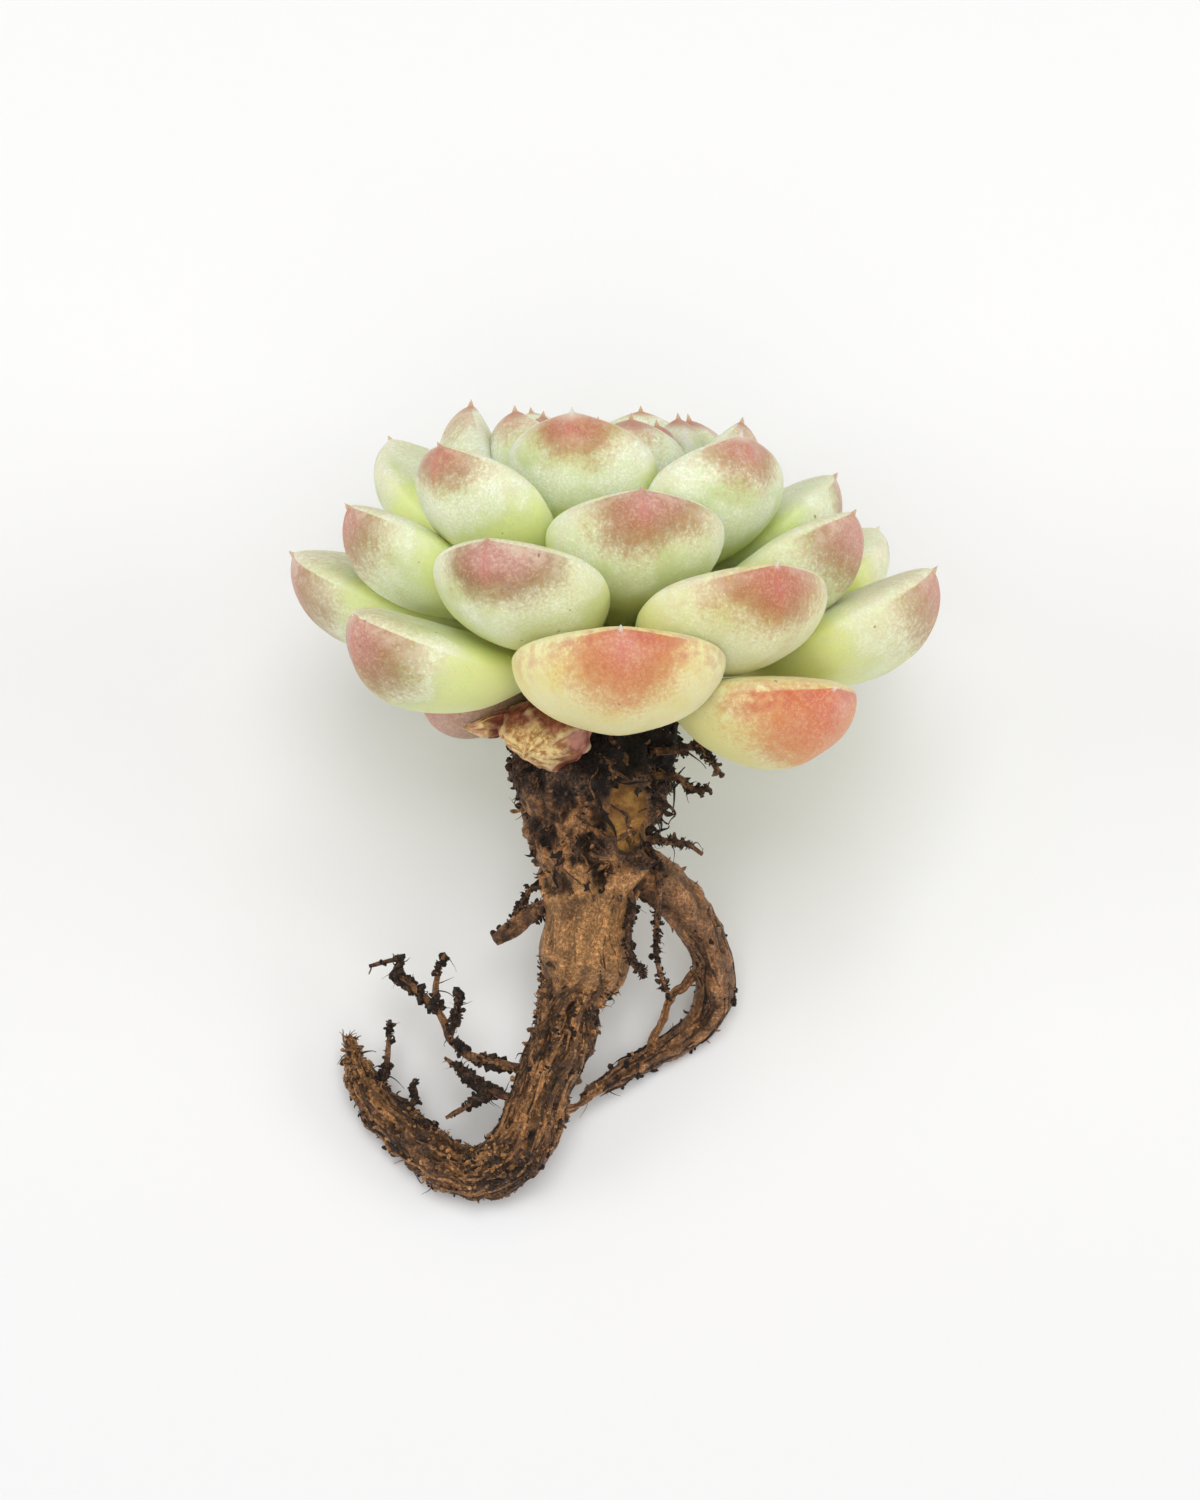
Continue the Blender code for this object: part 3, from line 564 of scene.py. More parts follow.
LOWER_TWIG = [(-11.0, -31.1, 6.8, 0.45), (-13.0, -32.4, 6.4, 0.38), (-15.4, -33.7, 6.0, 0.25)]
HAIR_ROUTE_1 = [
    (4.2, -8.9, 18.0, 0.5), (5.7, -11.2, 18.0, 0.45), (5.8, -14.9, 15.6, 0.4),
    (5.6, -18.1, 12.2, 0.36), (6.4, -20.7, 9.6, 0.34), (7.4, -21.6, 7.6, 0.26),
]
HAIR_ROUTE_2 = [
    (2.5, -13.2, 17.4, 0.6), (3.2, -15.1, 16.6, 0.5), (2.8, -17.8, 15.8, 0.5),
    (3.2, -20.3, 14.8, 0.42), (4.6, -21.6, 14.0, 0.28),
]
CURL_ROUTE_1 = [
    (5.0, -1.9, 24.5, 0.6), (7.9, -2.1, 25.2, 0.5), (9.6, -1.6, 25.4, 0.42),
    (10.7, -2.7, 25.0, 0.36), (11.8, -4.2, 24.6, 0.24),
]
CURL_ROUTE_2 = [
    (5.0, -3.6, 22.6, 0.6), (7.7, -4.3, 23.4, 0.5), (9.4, -5.5, 23.2, 0.36),
    (10.7, -5.3, 23.4, 0.25),
]
CURL_ROUTE_3 = [
    (4.0, -8.7, 18.6, 0.6), (6.8, -9.4, 19.4, 0.45), (8.7, -9.8, 19.6, 0.36),
    (10.2, -10.8, 19.4, 0.25),
]
HOOK_ROUTE_1 = [
    (-22.9, -32.0, 3.2, 0.6), (-21.8, -29.1, 3.8, 0.42), (-21.4, -26.1, 4.4, 0.34),
    (-21.2, -22.8, 5.0, 0.2),
]
HOOK_ROUTE_2 = [
    (-20.9, -33.7, 3.2, 0.6), (-19.3, -32.0, 3.6, 0.5), (-18.6, -30.6, 3.9, 0.45),
    (-18.9, -29.2, 4.2, 0.25),
]
WHISKER_ROUTE = [
    (-17.3, -37.6, 1.2, 0.06), (-17.9, -38.6, 0.4, 0.06), (-18.6, -37.6, 0.3, 0.055),
    (-19.6, -36.2, 0.3, 0.05), (-20.8, -36.5, 0.3, 0.04),
]

# From the plant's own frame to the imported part, in mm
SHIFT = np.array(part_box("stem_main_root")[0]) / MM - coarse_stem().reshape(-1, 3).min(axis=0)


def ochre_share(points):
    """1 inside the smooth bare patch of the collar, falling to 0 at its ragged edge."""
    away = np.linalg.norm((points - np.array(OCHRE_PATCH)) / np.array(OCHRE_SIZE), axis=-1)
    return step(1.05, 0.75, away + 0.18 * grain(points, 1.6, 66.0))


def stem_shape(points, s, angle):
    """Extra stem radius: torn bark on the collar, lengthwise cords below, clods on the root."""
    collar = step(0.13, 0.18, s) * step(0.36, 0.30, s)
    root = step(0.42, 0.50, s)
    torn = layered(points * np.array((1.0, 0.55, 1.0)), 2.6, 3.0, 4)
    ridge = 1.0 - 2.0 * np.abs(layered(points, 3.4, 8.0, 3))
    cords = np.sin(11.0 * angle + 3.0 * grain(points, 5.0, 2.0)) * 0.5
    clods = layered(points, 1.3, 17.0, 3)
    bare = 1.0 - 0.85 * ochre_share(points)
    lumps = layered(points, 3.2, 71.0, 2)
    rough = (2.0 * torn + 1.0 * ridge + 1.2 * lumps - 0.3) * collar * bare - 0.5 * (1.0 - bare)
    rough = rough - 0.75 * step(0.90, 1.0, s)
    rough = rough + 0.13 * cords * (1.0 - collar) + 0.62 * clods * root
    rough = rough + 0.16 * layered(points, 0.8, 29.0, 3)
    return rough * step(0.12, 0.15, s)


def root_shape(strength):
    """Extra root radius: uneven cords along it and a grain across them."""
    def shape(points, s, angle):
        """Extra radius in mm at each point; the same all along the root."""
        cords = np.sin(5.0 * angle + 2.5 * grain(points, 3.0, 4.0))
        return strength * (0.10 * cords + 0.30 * layered(points, 1.1, 6.0, 3))
    return shape


def pick(count, seed):
    """Repeatable numbers from 0 to 1, one for each of a run of items."""
    return np.modf(np.abs(np.sin(np.arange(count) * 12.9898 + seed * 78.233 + 0.5) * 43758.5453))[0]


def strands(path, up, wide, thick, sides):
    """Many thin closed tubes at once: paths (k, t, 3), half widths across and along "up" (k, t)."""
    way = np.gradient(path, axis=1)
    way = way / np.maximum(np.linalg.norm(way, axis=2, keepdims=True), 1e-9)
    across = np.cross(way, up)
    across = across / np.maximum(np.linalg.norm(across, axis=2, keepdims=True), 1e-9)
    upward = np.cross(across, way)
    turn = np.linspace(0.0, 2.0 * np.pi, sides, endpoint=False)[None, None, :, None]
    rings = (path[:, :, None, :] + np.cos(turn) * across[:, :, None, :] * wide[:, :, None, None]
             + np.sin(turn) * upward[:, :, None, :] * thick[:, :, None, None])
    count, length = path.shape[:2]
    walls, fans = ring_faces(length, sides)
    each = length * sides + 2
    offset = (np.arange(count) * each)[:, None, None]
    points = np.concatenate((rings.reshape(count, -1, 3), path[:, :1], path[:, -1:]), axis=1)
    return (points.reshape(-1, 3), (walls[None] + offset).reshape(-1, 4),
            (fans[None] + offset).reshape(-1, 3), each)


def crumbs(where, size, seed):
    """Lumps of soil at points: the twelve corners of an icosahedron, each pushed in or out."""
    g = 0.5 * (1.0 + math.sqrt(5.0))
    corner = np.array([(-1, g, 0), (1, g, 0), (-1, -g, 0), (1, -g, 0), (0, -1, g), (0, 1, g), (0, -1, -g),
                       (0, 1, -g), (g, 0, -1), (g, 0, 1), (-g, 0, -1), (-g, 0, 1)]) / math.sqrt(1.0 + g * g)
    face = np.array([(0, 11, 5), (0, 5, 1), (0, 1, 7), (0, 7, 10), (0, 10, 11), (1, 5, 9), (5, 11, 4),
                     (11, 10, 2), (10, 7, 6), (7, 1, 8), (3, 9, 4), (3, 4, 2), (3, 2, 6), (3, 6, 8),
                     (3, 8, 9), (4, 9, 5), (2, 4, 11), (6, 2, 10), (8, 6, 7), (9, 8, 1)])
    count = len(where)
    push = 0.55 + 0.75 * pick(count * 12, seed).reshape(count, 12, 1)
    squash = 0.6 + 0.7 * pick(count * 3, seed + 1.0).reshape(count, 1, 3)
    points = where[:, None, :] + corner[None] * push * squash * size[:, None, None]
    points[..., 2] = np.maximum(points[..., 2], 0.02 - SHIFT[2])
    fans = face[None] + (np.arange(count) * 12)[:, None, None]
    return points.reshape(-1, 3), fans.reshape(-1, 3)


def crumb_piece(name, spots, sizes, seed, slot, peat, tan, light=1.0):
    """A scatter of crumbs in one mesh: soil, or bits of bark where the bare share is high."""
    points, fans = crumbs(spots, sizes, seed)
    shade = np.repeat(light * (0.6 + 0.4 * tan) * pick(len(spots), seed + 5.0), 12)
    marks = {"peat": np.full(len(points), peat), "tan": np.full(len(points), tan), "shade": shade}
    return make_piece(name, points, np.zeros((0, 4), dtype=int), fans, marks, BARK_SKINS[slot])


def on_skin(rings, count, seed, likely):
    """Points scattered on a tube skin: where likely(s, angle, point) beats a repeatable number."""
    rows, sides, _ = rings.shape
    i = (pick(count, seed) * (rows - 1)).astype(int)
    j = (pick(count, seed + 3.0) * sides).astype(int)
    spot = rings[i, j]
    kept = likely(i / (rows - 1.0), 2.0 * np.pi * j / sides, spot) > pick(count, seed + 6.0)
    i, j, spot = i[kept], j[kept], spot[kept]
    out = spot - rings[i].mean(axis=1)
    return i, j, spot, out / np.linalg.norm(out, axis=1)[:, None]


def skin_line(rings, s, angle):
    """Points and outward directions on a tube skin along lines of (share of length, angle)."""
    rows, sides, _ = rings.shape
    i = np.clip((s * (rows - 1)).round().astype(int), 0, rows - 1)
    j = (angle / (2.0 * np.pi) * sides).round().astype(int) % sides
    spot = rings[i, j]
    out = spot - rings[i].mean(axis=2 if i.ndim == 2 else 1)
    return spot, out / np.linalg.norm(out, axis=-1, keepdims=True)


def strand_piece(name, path, up, wide, thick, sides, seed, peat, tan, slot):
    """Strands in one mesh, each with a shade of its own, kept just above the surface."""
    path = path.copy()
    path[..., 2] = np.maximum(path[..., 2], 0.10 - SHIFT[2] + np.minimum(wide, 0.5))
    points, walls, fans, each = strands(path, up, wide, thick, sides)
    count = len(path)
    marks = {"peat": np.repeat(peat * (0.6 + 0.8 * pick(count, seed + 8.0)), each),
             "tan": np.repeat(tan * (0.5 + pick(count, seed + 9.0)), each),
             "shade": np.repeat(pick(count, seed + 10.0), each)}
    return make_piece(name, points, walls, fans, marks, BARK_SKINS[slot])


def soften(path):
    """Three passes of a 1-2-1 average along each path, with its ends kept."""
    for _ in range(3):
        path[:, 1:-1] = 0.25 * path[:, :-2] + 0.5 * path[:, 1:-1] + 0.25 * path[:, 2:]
    return path


def fibres(name, rings, count, seed, low, high, length, width, peel, sink, peat, tan, slot):
    """Long bark fibres lying on a tube skin between two shares of its length, ends peeling off."""
    t = np.linspace(0.0, 1.0, 26)[None, :]
    start = low + (high - low) * pick(count, seed)[:, None]
    reach = length * (0.4 + 0.9 * pick(count, seed + 1.0))[:, None]
    s = np.clip(start + reach * (t - 0.5), low, high)
    angle = 2.0 * np.pi * pick(count, seed + 2.0)[:, None]
    angle = angle + 1.2 * (pick(count, seed + 3.0)[:, None] - 0.5) * t
    angle = angle + 0.05 * np.sin(9.0 * t + 6.0 * pick(count, seed + 4.0)[:, None])
    spot, out = skin_line(rings, s, np.mod(angle, 2.0 * np.pi))
    wide = width * (0.5 + pick(count, seed + 5.0))[:, None] * np.sin(np.pi * np.clip(t, 0.03, 0.97)) ** 0.6
    lift = peel * (pick(count, seed + 6.0)[:, None] ** 3) * np.clip(t * 1.6 - 0.6, 0.0, 1.0) ** 2
    path = soften(spot + out * (lift - sink * width)[..., None])
    return strand_piece(name, path, out, wide, wide * 0.7, 7, seed, peat, tan, slot)


def ridges(name, rings, count, seed, low, high, span, width, peat, tan, slot):
    """Raised scars where old leaves sat: short wavy ridges that run across a tube skin."""
    t = np.linspace(0.0, 1.0, 30)[None, :]
    s = (low + (high - low) * (np.arange(count) + pick(count, seed)) / count)[:, None]
    s = s + 0.006 * np.sin(6.0 * t + 6.0 * pick(count, seed + 1.0)[:, None])
    angle = 2.0 * np.pi * pick(count, seed + 2.0)[:, None]
    angle = angle + span * (0.5 + pick(count, seed + 3.0)[:, None]) * t
    spot, out = skin_line(rings, s, np.mod(angle, 2.0 * np.pi))
    wide = width * (0.5 + pick(count, seed + 5.0))[:, None] * np.sin(np.pi * np.clip(t, 0.04, 0.96)) ** 0.5
    wide = wide * (1.0 + 0.25 * np.sin(23.0 * t + 5.0 * angle))
    path = soften(spot + out * (0.15 * wide)[..., None])
    return strand_piece(name, path, out, wide, wide * 0.8, 9, seed, peat, tan, slot)


def curls(name, rings, count, seed, low, high, size, slot, peat=0.4, tan=0.4, clump=None):
    """Thin flakes that stand on a tube skin by one edge and curl away from it along an arc.

    The smooth ochre patch stays clear; with a clump seed, the flakes keep to clumps.
    """
    t = np.linspace(0.0, 1.0, 11)[None, :]
    s = (low + (high - low) * pick(count, seed))[:, None]
    angle = 2.0 * np.pi * pick(count, seed + 1.0)[:, None]
    spot, out = skin_line(rings, s, angle)
    rows = rings.shape[0]
    i = np.clip((s * (rows - 1)).astype(int), 1, rows - 2)[:, 0]
    way = rings[i + 1].mean(axis=1) - rings[i - 1].mean(axis=1)
    way = way / np.linalg.norm(way, axis=1)[:, None]
    side = np.cross(way, out[:, 0])
    lean = (FLAKE_LEAN * 2.0 * (pick(count, seed + 2.0) - 0.5))[:, None]
    along = way * np.cos(lean) + side * np.sin(lean)
    length = size * (0.4 + pick(count, seed + 3.0))[:, None]
    bend = 0.6 + 2.6 * pick(count, seed + 4.0)[:, None]
    forth = length * np.sin(bend * t) / bend
    off = length * (1.0 - np.cos(bend * t)) / bend
    kept = ochre_share(spot[:, 0]) < 0.3
    if clump is not None:
        kept = kept & (grain(spot[:, 0], 1.5, clump) > -0.05)
    path = spot + along[:, None, :] * forth[..., None] + out * (off - 0.15)[..., None]
    normal = out * np.cos(bend * t)[..., None] - along[:, None, :] * np.sin(bend * t)[..., None]
    wide = 0.42 * length * (0.35 + 0.65 * pick(count, seed + 5.0)[:, None])
    wide = wide * np.sqrt(np.clip(1.02 - t ** 3, 0.0, 1.0)) * (0.8 + 0.25 * np.sin(7.0 * t + 9.0 * angle))
    thick = np.full_like(wide, 0.10) * np.clip(1.15 - t, 0.2, 1.0)
    return strand_piece(name, path[kept], normal[kept], wide[kept], thick[kept], 8, seed, peat, tan, slot)


def hairs(name, spots, outward, length, radius, seed, slot, droop=0.5, peat=0.6):
    """Fine root hairs: thin tapering tubes that leave the skin, wander and sag."""
    count = len(spots)
    t = np.linspace(0.0, 1.0, 14)[None, :, None]
    swing = (np.stack([pick(count, seed + n) for n in (1.0, 2.0, 3.0)], axis=1) - 0.5)[:, None, :]
    second = (np.stack([pick(count, seed + n) for n in (4.0, 5.0, 6.0)], axis=1) - 0.5)[:, None, :]
    size = (length * (0.3 + pick(count, seed + 7.0)))[:, None, None]
    path = spots[:, None, :] + outward[:, None, :] * size * (t - 0.5 * t * t) - 0.1 * outward[:, None, :]
    path = path + size * (swing * 1.3 * t ** 1.5 + second * 0.35 * np.sin(5.0 * t) * t)
    path[..., 2] -= (droop * size * t * t)[..., 0]
    wide = radius * (0.6 + 0.8 * pick(count, seed + 8.0))[:, None] * np.clip(1.1 - t[..., 0], 0.25, 1.0)
    up = np.zeros_like(path) + np.array(SKEW_UP)
    return strand_piece(name, path, up, wide, wide, 5, seed, peat, 0.2, slot)


# ---------------------------------------------------------------- materials

def new_group(name, inputs, outputs):
    """An empty shader node group with named float, colour and vector sockets."""
    group = bpy.data.node_groups.new(name, "ShaderNodeTree")
    kinds = {"f": "NodeSocketFloat", "c": "NodeSocketColor", "v": "NodeSocketVector"}
    for key, kind, value in inputs:
        socket = group.interface.new_socket(key, in_out="INPUT", socket_type=kinds[kind])
        if value is not None:
            socket.default_value = value
    for key, kind in outputs:
        group.interface.new_socket(key, in_out="OUTPUT", socket_type=kinds[kind])
    return group, group.nodes.new("NodeGroupInput"), group.nodes.new("NodeGroupOutput")


class Tree:
    """Short calls for wiring shader nodes; a value may be a number, a colour or another node's output."""

    def __init__(self, tree):
        self.tree = tree

    def node(self, kind, **sets):
        """A new node with its choices set."""
        made = self.tree.nodes.new(kind)
        for key, value in sets.items():
            setattr(made, key, value)
        return made

    def link(self, source, target):
        """A wire from an output to an input."""
        self.tree.links.new(source, target)

    def feed(self, socket, value):
        """A wire where the value is an output, and a fixed setting where it isn't."""
        if isinstance(value, bpy.types.NodeSocket):
            self.link(value, socket)
        elif isinstance(value, tuple) and len(value) == 3 and socket.type == "RGBA":
            socket.default_value = value + (1.0,)
        else:
            socket.default_value = value

    def math(self, what, a, b=0.0, clamp=False):
        """One step of arithmetic."""
        made = self.node("ShaderNodeMath", operation=what, use_clamp=clamp)
        self.feed(made.inputs[0], a)
        self.feed(made.inputs[1], b)
        return made.outputs[0]

    def times(self, a, b):
        """a multiplied by b."""
        return self.math("MULTIPLY", a, b)

    def plus(self, a, b):
        """a and b added."""
        return self.math("ADD", a, b)

    def about_half(self, a, strength):
        """How far a noise stands from its middle, times a strength."""
        return self.times(self.math("SUBTRACT", a, 0.5), strength)

    def mix(self, share, a, b, blend="MIX"):
        """From colour a to colour b as the share goes from 0 to 1."""
        made = self.node("ShaderNodeMix", data_type="RGBA", blend_type=blend)
        self.feed(made.inputs["Factor"], share)
        self.feed(made.inputs[6], a)
        self.feed(made.inputs[7], b)
        return made.outputs[2]

    def ramp(self, value, low, high, out_low=0.0, out_high=1.0):
        """Smooth change from out_low to out_high while the value goes from low to high."""
        made = self.node("ShaderNodeMapRange", interpolation_type="SMOOTHSTEP")
        self.feed(made.inputs["Value"], value)
        self.feed(made.inputs["From Min"], low)
        self.feed(made.inputs["From Max"], high)
        self.feed(made.inputs["To Min"], out_low)
        self.feed(made.inputs["To Max"], out_high)
        return made.outputs["Result"]

    def noise(self, where, size_mm, detail=3.0, rough=0.55):
        """Noise with lumps of a given size in mm."""
        made = self.node("ShaderNodeTexNoise")
        self.link(where, made.inputs["Vector"])
        made.inputs["Scale"].default_value = 1000.0 / size_mm
        made.inputs["Detail"].default_value = detail
        made.inputs["Roughness"].default_value = rough
        return made.outputs["Fac"]

    def mark(self, name):
        """One of the values that the mesh carries on its points."""
        return self.node("ShaderNodeAttribute", attribute_name=name, attribute_type="GEOMETRY").outputs["Fac"]

    def bump(self, shader, height, strength, depth):
        """Fine relief from a height pattern, depth in metres."""
        made = self.node("ShaderNodeBump")
        made.inputs["Strength"].default_value = strength
        made.inputs["Distance"].default_value = depth
        self.link(height, made.inputs["Height"])
        self.link(made.outputs["Normal"], shader.inputs["Normal"])


def new_material(name):
    """A material with its wiring calls, its shader and the object's own coordinates."""
    material = bpy.data.materials.new(name)
    material.use_nodes = True
    t = Tree(material.node_tree)
    shader = material.node_tree.nodes["Principled BSDF"]
    return material, t, shader, t.node("ShaderNodeTexCoord").outputs["Object"]


def speckle_group():
    """Powdery bloom: fine pale grains, thinner where it is rubbed, and a matching height."""
    group, into, out = new_group("powder_bloom", [("Vector", "v", None), ("Rubbed", "f", 0.0)],
                                 [("Mask", "f"), ("Height", "f")])
    t = Tree(group)
    where = into.outputs["Vector"]
    fine = t.noise(where, 0.28, 4.0, 0.70)
    broad = t.ramp(t.noise(where, 3.5, 3.0), 0.30, 0.70)
    grains = t.ramp(fine, 0.44, 0.62)
    # Whitish dots: grains of bloom, partly painted glints of the wax.
    dots = t.ramp(t.noise(where, 0.34, 1.0, 0.5), 0.60, 0.68)
    cover = t.plus(t.times(broad, 0.45), 0.42)
    kept = t.math("SUBTRACT", 1.0, into.outputs["Rubbed"], True)
    body = t.times(cover, kept)
    mask = t.plus(t.times(body, 0.54), t.times(t.times(grains, body), 0.58))
    mask = t.math("ADD", mask, t.times(dots, 0.24), True)
    t.link(mask, out.inputs["Mask"])
    t.link(t.plus(t.times(fine, body), t.times(dots, 0.6)), out.inputs["Height"])
    return group


def leaf_material(name, bloom):
    """Fleshy leaf skin: green flesh, a soft flush below the point, a faint rim and a pale bloom."""
    material, t, shader, where = new_material(name)
    mottle = t.noise(where, 1.1, 4.0, 0.6)
    speck = t.noise(where, 0.40, 3.0, 0.75)
    cloud = t.noise(where, 6.0, 2.0)
    loose = t.plus(t.about_half(mottle, 0.9), t.about_half(speck, 1.7))
    lengthwise = t.node("ShaderNodeCombineXYZ")
    t.link(t.math("DIVIDE", t.mark("across_mm"), 0.45), lengthwise.inputs[0])
    t.link(t.math("DIVIDE", t.mark("along_mm"), 2.2), lengthwise.inputs[1])
    streaks = t.node("ShaderNodeTexNoise")
    t.link(lengthwise.outputs[0], streaks.inputs["Vector"])
    streaks.inputs["Scale"].default_value = 1.0
    streaks.inputs["Detail"].default_value = 4.0
    streak = streaks.outputs["Fac"]
    loose = t.plus(loose, t.about_half(streak, 0.35))

    # Green flesh: yellower toward the foot, golden on the sunned leaves
    foot = t.ramp(t.plus(t.mark("foot"), t.times(loose, 0.5)), 0.10, 0.85)
    yellow = t.mark("yellow")
    # Partly painted light: the foot is paler and yellower of its own, and its bright colour also stands in
    # for light shining through the leaves into the hollows between them.
    flesh = t.mix(foot, (0.570, 0.670, 0.350), (0.760, 0.850, 0.350))
    flesh = t.mix(t.times(yellow, 0.85), flesh, (0.780, 0.680, 0.270))

    # Flush: rose near the point, brown or coral below, olive where it fades out
    coral = t.mark("coral")
    upper = t.mark("upper")
    flush = t.mark("flush")
    edge = t.ramp(t.plus(flush, t.times(loose, 0.62)), 0.14, 0.92)
    brown = t.mix(coral, (0.240, 0.118, 0.030), (0.620, 0.165, 0.026))
    rose = t.mix(coral, (0.400, 0.135, 0.115), (0.580, 0.115, 0.045))
    olive = t.mix(coral, (0.560, 0.460, 0.160), (0.860, 0.560, 0.120))
    fading = t.ramp(t.plus(flush, t.times(loose, 0.25)), 0.20, 0.70, 0.65, 0.0)
    tint = t.mix(fading, t.mix(upper, brown, rose), olive)
    tint = t.mix(t.ramp(speck, 0.46, 0.62, 0.0, 0.32), tint, (0.740, 0.540, 0.290))
    tint = t.mix(t.ramp(streak, 0.56, 0.72, 0.0, 0.20), tint, (0.420, 0.130, 0.080))

    # Bloom: thinner near the foot, on yellow leaves and where it is rubbed
    powder = t.node("ShaderNodeGroup", node_tree=bloom)
    t.link(where, powder.inputs["Vector"])
    rubbed = t.ramp(t.plus(cloud, t.times(foot, 0.22)), 0.50, 0.68)
    t.link(t.times(rubbed, 0.85), powder.inputs["Rubbed"])
    mask = powder.outputs["Mask"]
    bright = t.mix(t.mark("young"), (0.920, 0.940, 0.800), (0.950, 0.950, 0.890))
    cover = t.times(mask, t.ramp(foot, 0.0, 1.0, 0.95, 0.36))
    cover = t.times(cover, t.ramp(yellow, 0.0, 1.0, 1.0, 0.45))
    flesh = t.mix(cover, flesh, bright)
    dust = t.mix(upper, (0.760, 0.620, 0.400), (0.880, 0.760, 0.720))
    tint = t.mix(t.times(mask, t.ramp(upper, 0.0, 1.0, 0.18, 0.33)), tint, dust)
    colour = t.mix(t.times(edge, 0.94), flesh, tint)

    # Rim, fold below the point, a few dark dots, and the hard point itself
    rim = t.times(t.mark("rim"), t.ramp(mottle, 0.35, 0.65))
    # Rim colour: the crimson margin of flushed leaves is their own; the pale rim is partly the margin's own
    # colour, partly painted light for the bright see-through edge.
    rim_colour = t.mix(coral, (0.800, 0.800, 0.620), (0.480, 0.060, 0.060))
    colour = t.mix(t.times(rim, 0.42), colour, rim_colour)
    colour = t.mix(t.times(t.mark("crease"), 0.45), colour, (0.560, 0.150, 0.130))
    dots = t.ramp(t.noise(where, 0.9, 0.0), 0.855, 0.875)
    colour = t.mix(t.times(dots, 0.6), colour, (0.300, 0.060, 0.100))
    thorn = t.mix(t.ramp(coral, 0.19, 0.32), (0.430, 0.210, 0.160), (0.700, 0.560, 0.470))
    colour = t.mix(t.mark("hard"), colour, thorn)
    t.link(colour, shader.inputs["Base Color"])

    t.link(t.plus(t.times(mask, 0.30), 0.40), shader.inputs["Roughness"])
    shader.inputs["Subsurface Weight"].default_value = 0.75
    shader.inputs["Subsurface Radius"].default_value = (1.0, 0.75, 0.35)
    shader.inputs["Subsurface Scale"].default_value = 0.0060
    shader.inputs["Specular IOR Level"].default_value = 0.38
    shader.inputs["Sheen Weight"].default_value = 0.10
    shader.inputs["Sheen Roughness"].default_value = 0.5
    t.bump(shader, t.plus(powder.outputs["Height"], t.times(mottle, 0.8)), 0.55, 0.00012)
    return material


def withered_material():
    """Dry leaf: maroon near the foot, golden wrinkles with painted highlight on their ridges and painted
    shade in their hollows, a whitish papery end.
    """
    material, t, shader, where = new_material("withered_leaf")
    veins = t.noise(where, 0.8, 5.0, 0.65)
    run = t.plus(t.mark("run"), t.about_half(t.noise(where, 2.6, 3.0), 0.35))
    fold = t.mark("fold")
    maroon = t.mix(t.ramp(veins, 0.38, 0.66), (0.170, 0.036, 0.024), (0.420, 0.130, 0.070))
    gold = t.mix(t.ramp(veins, 0.40, 0.60), (0.450, 0.190, 0.040), (0.860, 0.660, 0.290))
    colour = t.mix(t.ramp(run, 0.70, 0.88), maroon, gold)
    pink = t.ramp(t.noise(where, 4.0, 2.0), 0.54, 0.64, 0.0, 0.6)
    colour = t.mix(pink, colour, (0.640, 0.300, 0.230))
    colour = t.mix(t.ramp(run, 0.95, 1.08), colour, (0.800, 0.700, 0.580))
    # Painted highlight and shade: lighter gold where the crumpling stands out, near-black brown where it
    # sinks in.
    colour = t.mix(t.ramp(fold, 0.58, 0.85, 0.0, 0.45), colour, (0.830, 0.690, 0.420))
    colour = t.mix(t.ramp(fold, 0.20, 0.42, 0.55, 0.0), colour, (0.160, 0.050, 0.020))
    t.link(colour, shader.inputs["Base Color"])
    shader.inputs["Roughness"].default_value = 0.62
    shader.inputs["Subsurface Weight"].default_value = 0.08
    shader.inputs["Subsurface Scale"].default_value = 0.0006
    t.bump(shader, veins, 0.7, 0.0002)
    return material


def bark_group():
    """Weathered bark: light and dark wood in long streaks, with soil in the hollows."""
    group, into, out = new_group("weathered_bark", [("Vector", "v", None), ("Peat", "f", 0.5)],
                                 [("Color", "c"), ("Height", "f"), ("Mask", "f")])
    t = Tree(group)
    where = into.outputs["Vector"]
    stretch = t.node("ShaderNodeMapping")
    t.link(where, stretch.inputs["Vector"])
    stretch.inputs["Scale"].default_value = (1.0, 0.24, 0.45)
    streak = t.noise(stretch.outputs["Vector"], 0.8, 5.0, 0.65)
    patch = t.noise(where, 2.6, 5.0, 0.62)
    fine = t.noise(where, 0.35, 4.0, 0.7)
    wood = t.mix(t.ramp(streak, 0.38, 0.62), (0.070, 0.026, 0.009), (0.330, 0.150, 0.055))
    wood = t.mix(t.ramp(fine, 0.56, 0.74), wood, (0.480, 0.310, 0.170))
    pits = t.ramp(t.noise(where, 0.55, 3.0, 0.7), 0.34, 0.48, 0.75, 0.0)
    wood = t.mix(pits, wood, (0.075, 0.034, 0.015))
    level = t.math("SUBTRACT", 1.04, into.outputs["Peat"])
    peat = t.ramp(t.plus(patch, t.about_half(fine, 0.35)),
                  t.math("SUBTRACT", level, 0.12), t.plus(level, 0.06))
    soil = t.mix(t.ramp(fine, 0.40, 0.64), (0.022, 0.010, 0.005), (0.130, 0.066, 0.034))
    t.link(t.mix(peat, wood, soil), out.inputs["Color"])
    t.link(t.plus(streak, t.times(fine, 0.8)), out.inputs["Height"])
    t.link(peat, out.inputs["Mask"])
    return group


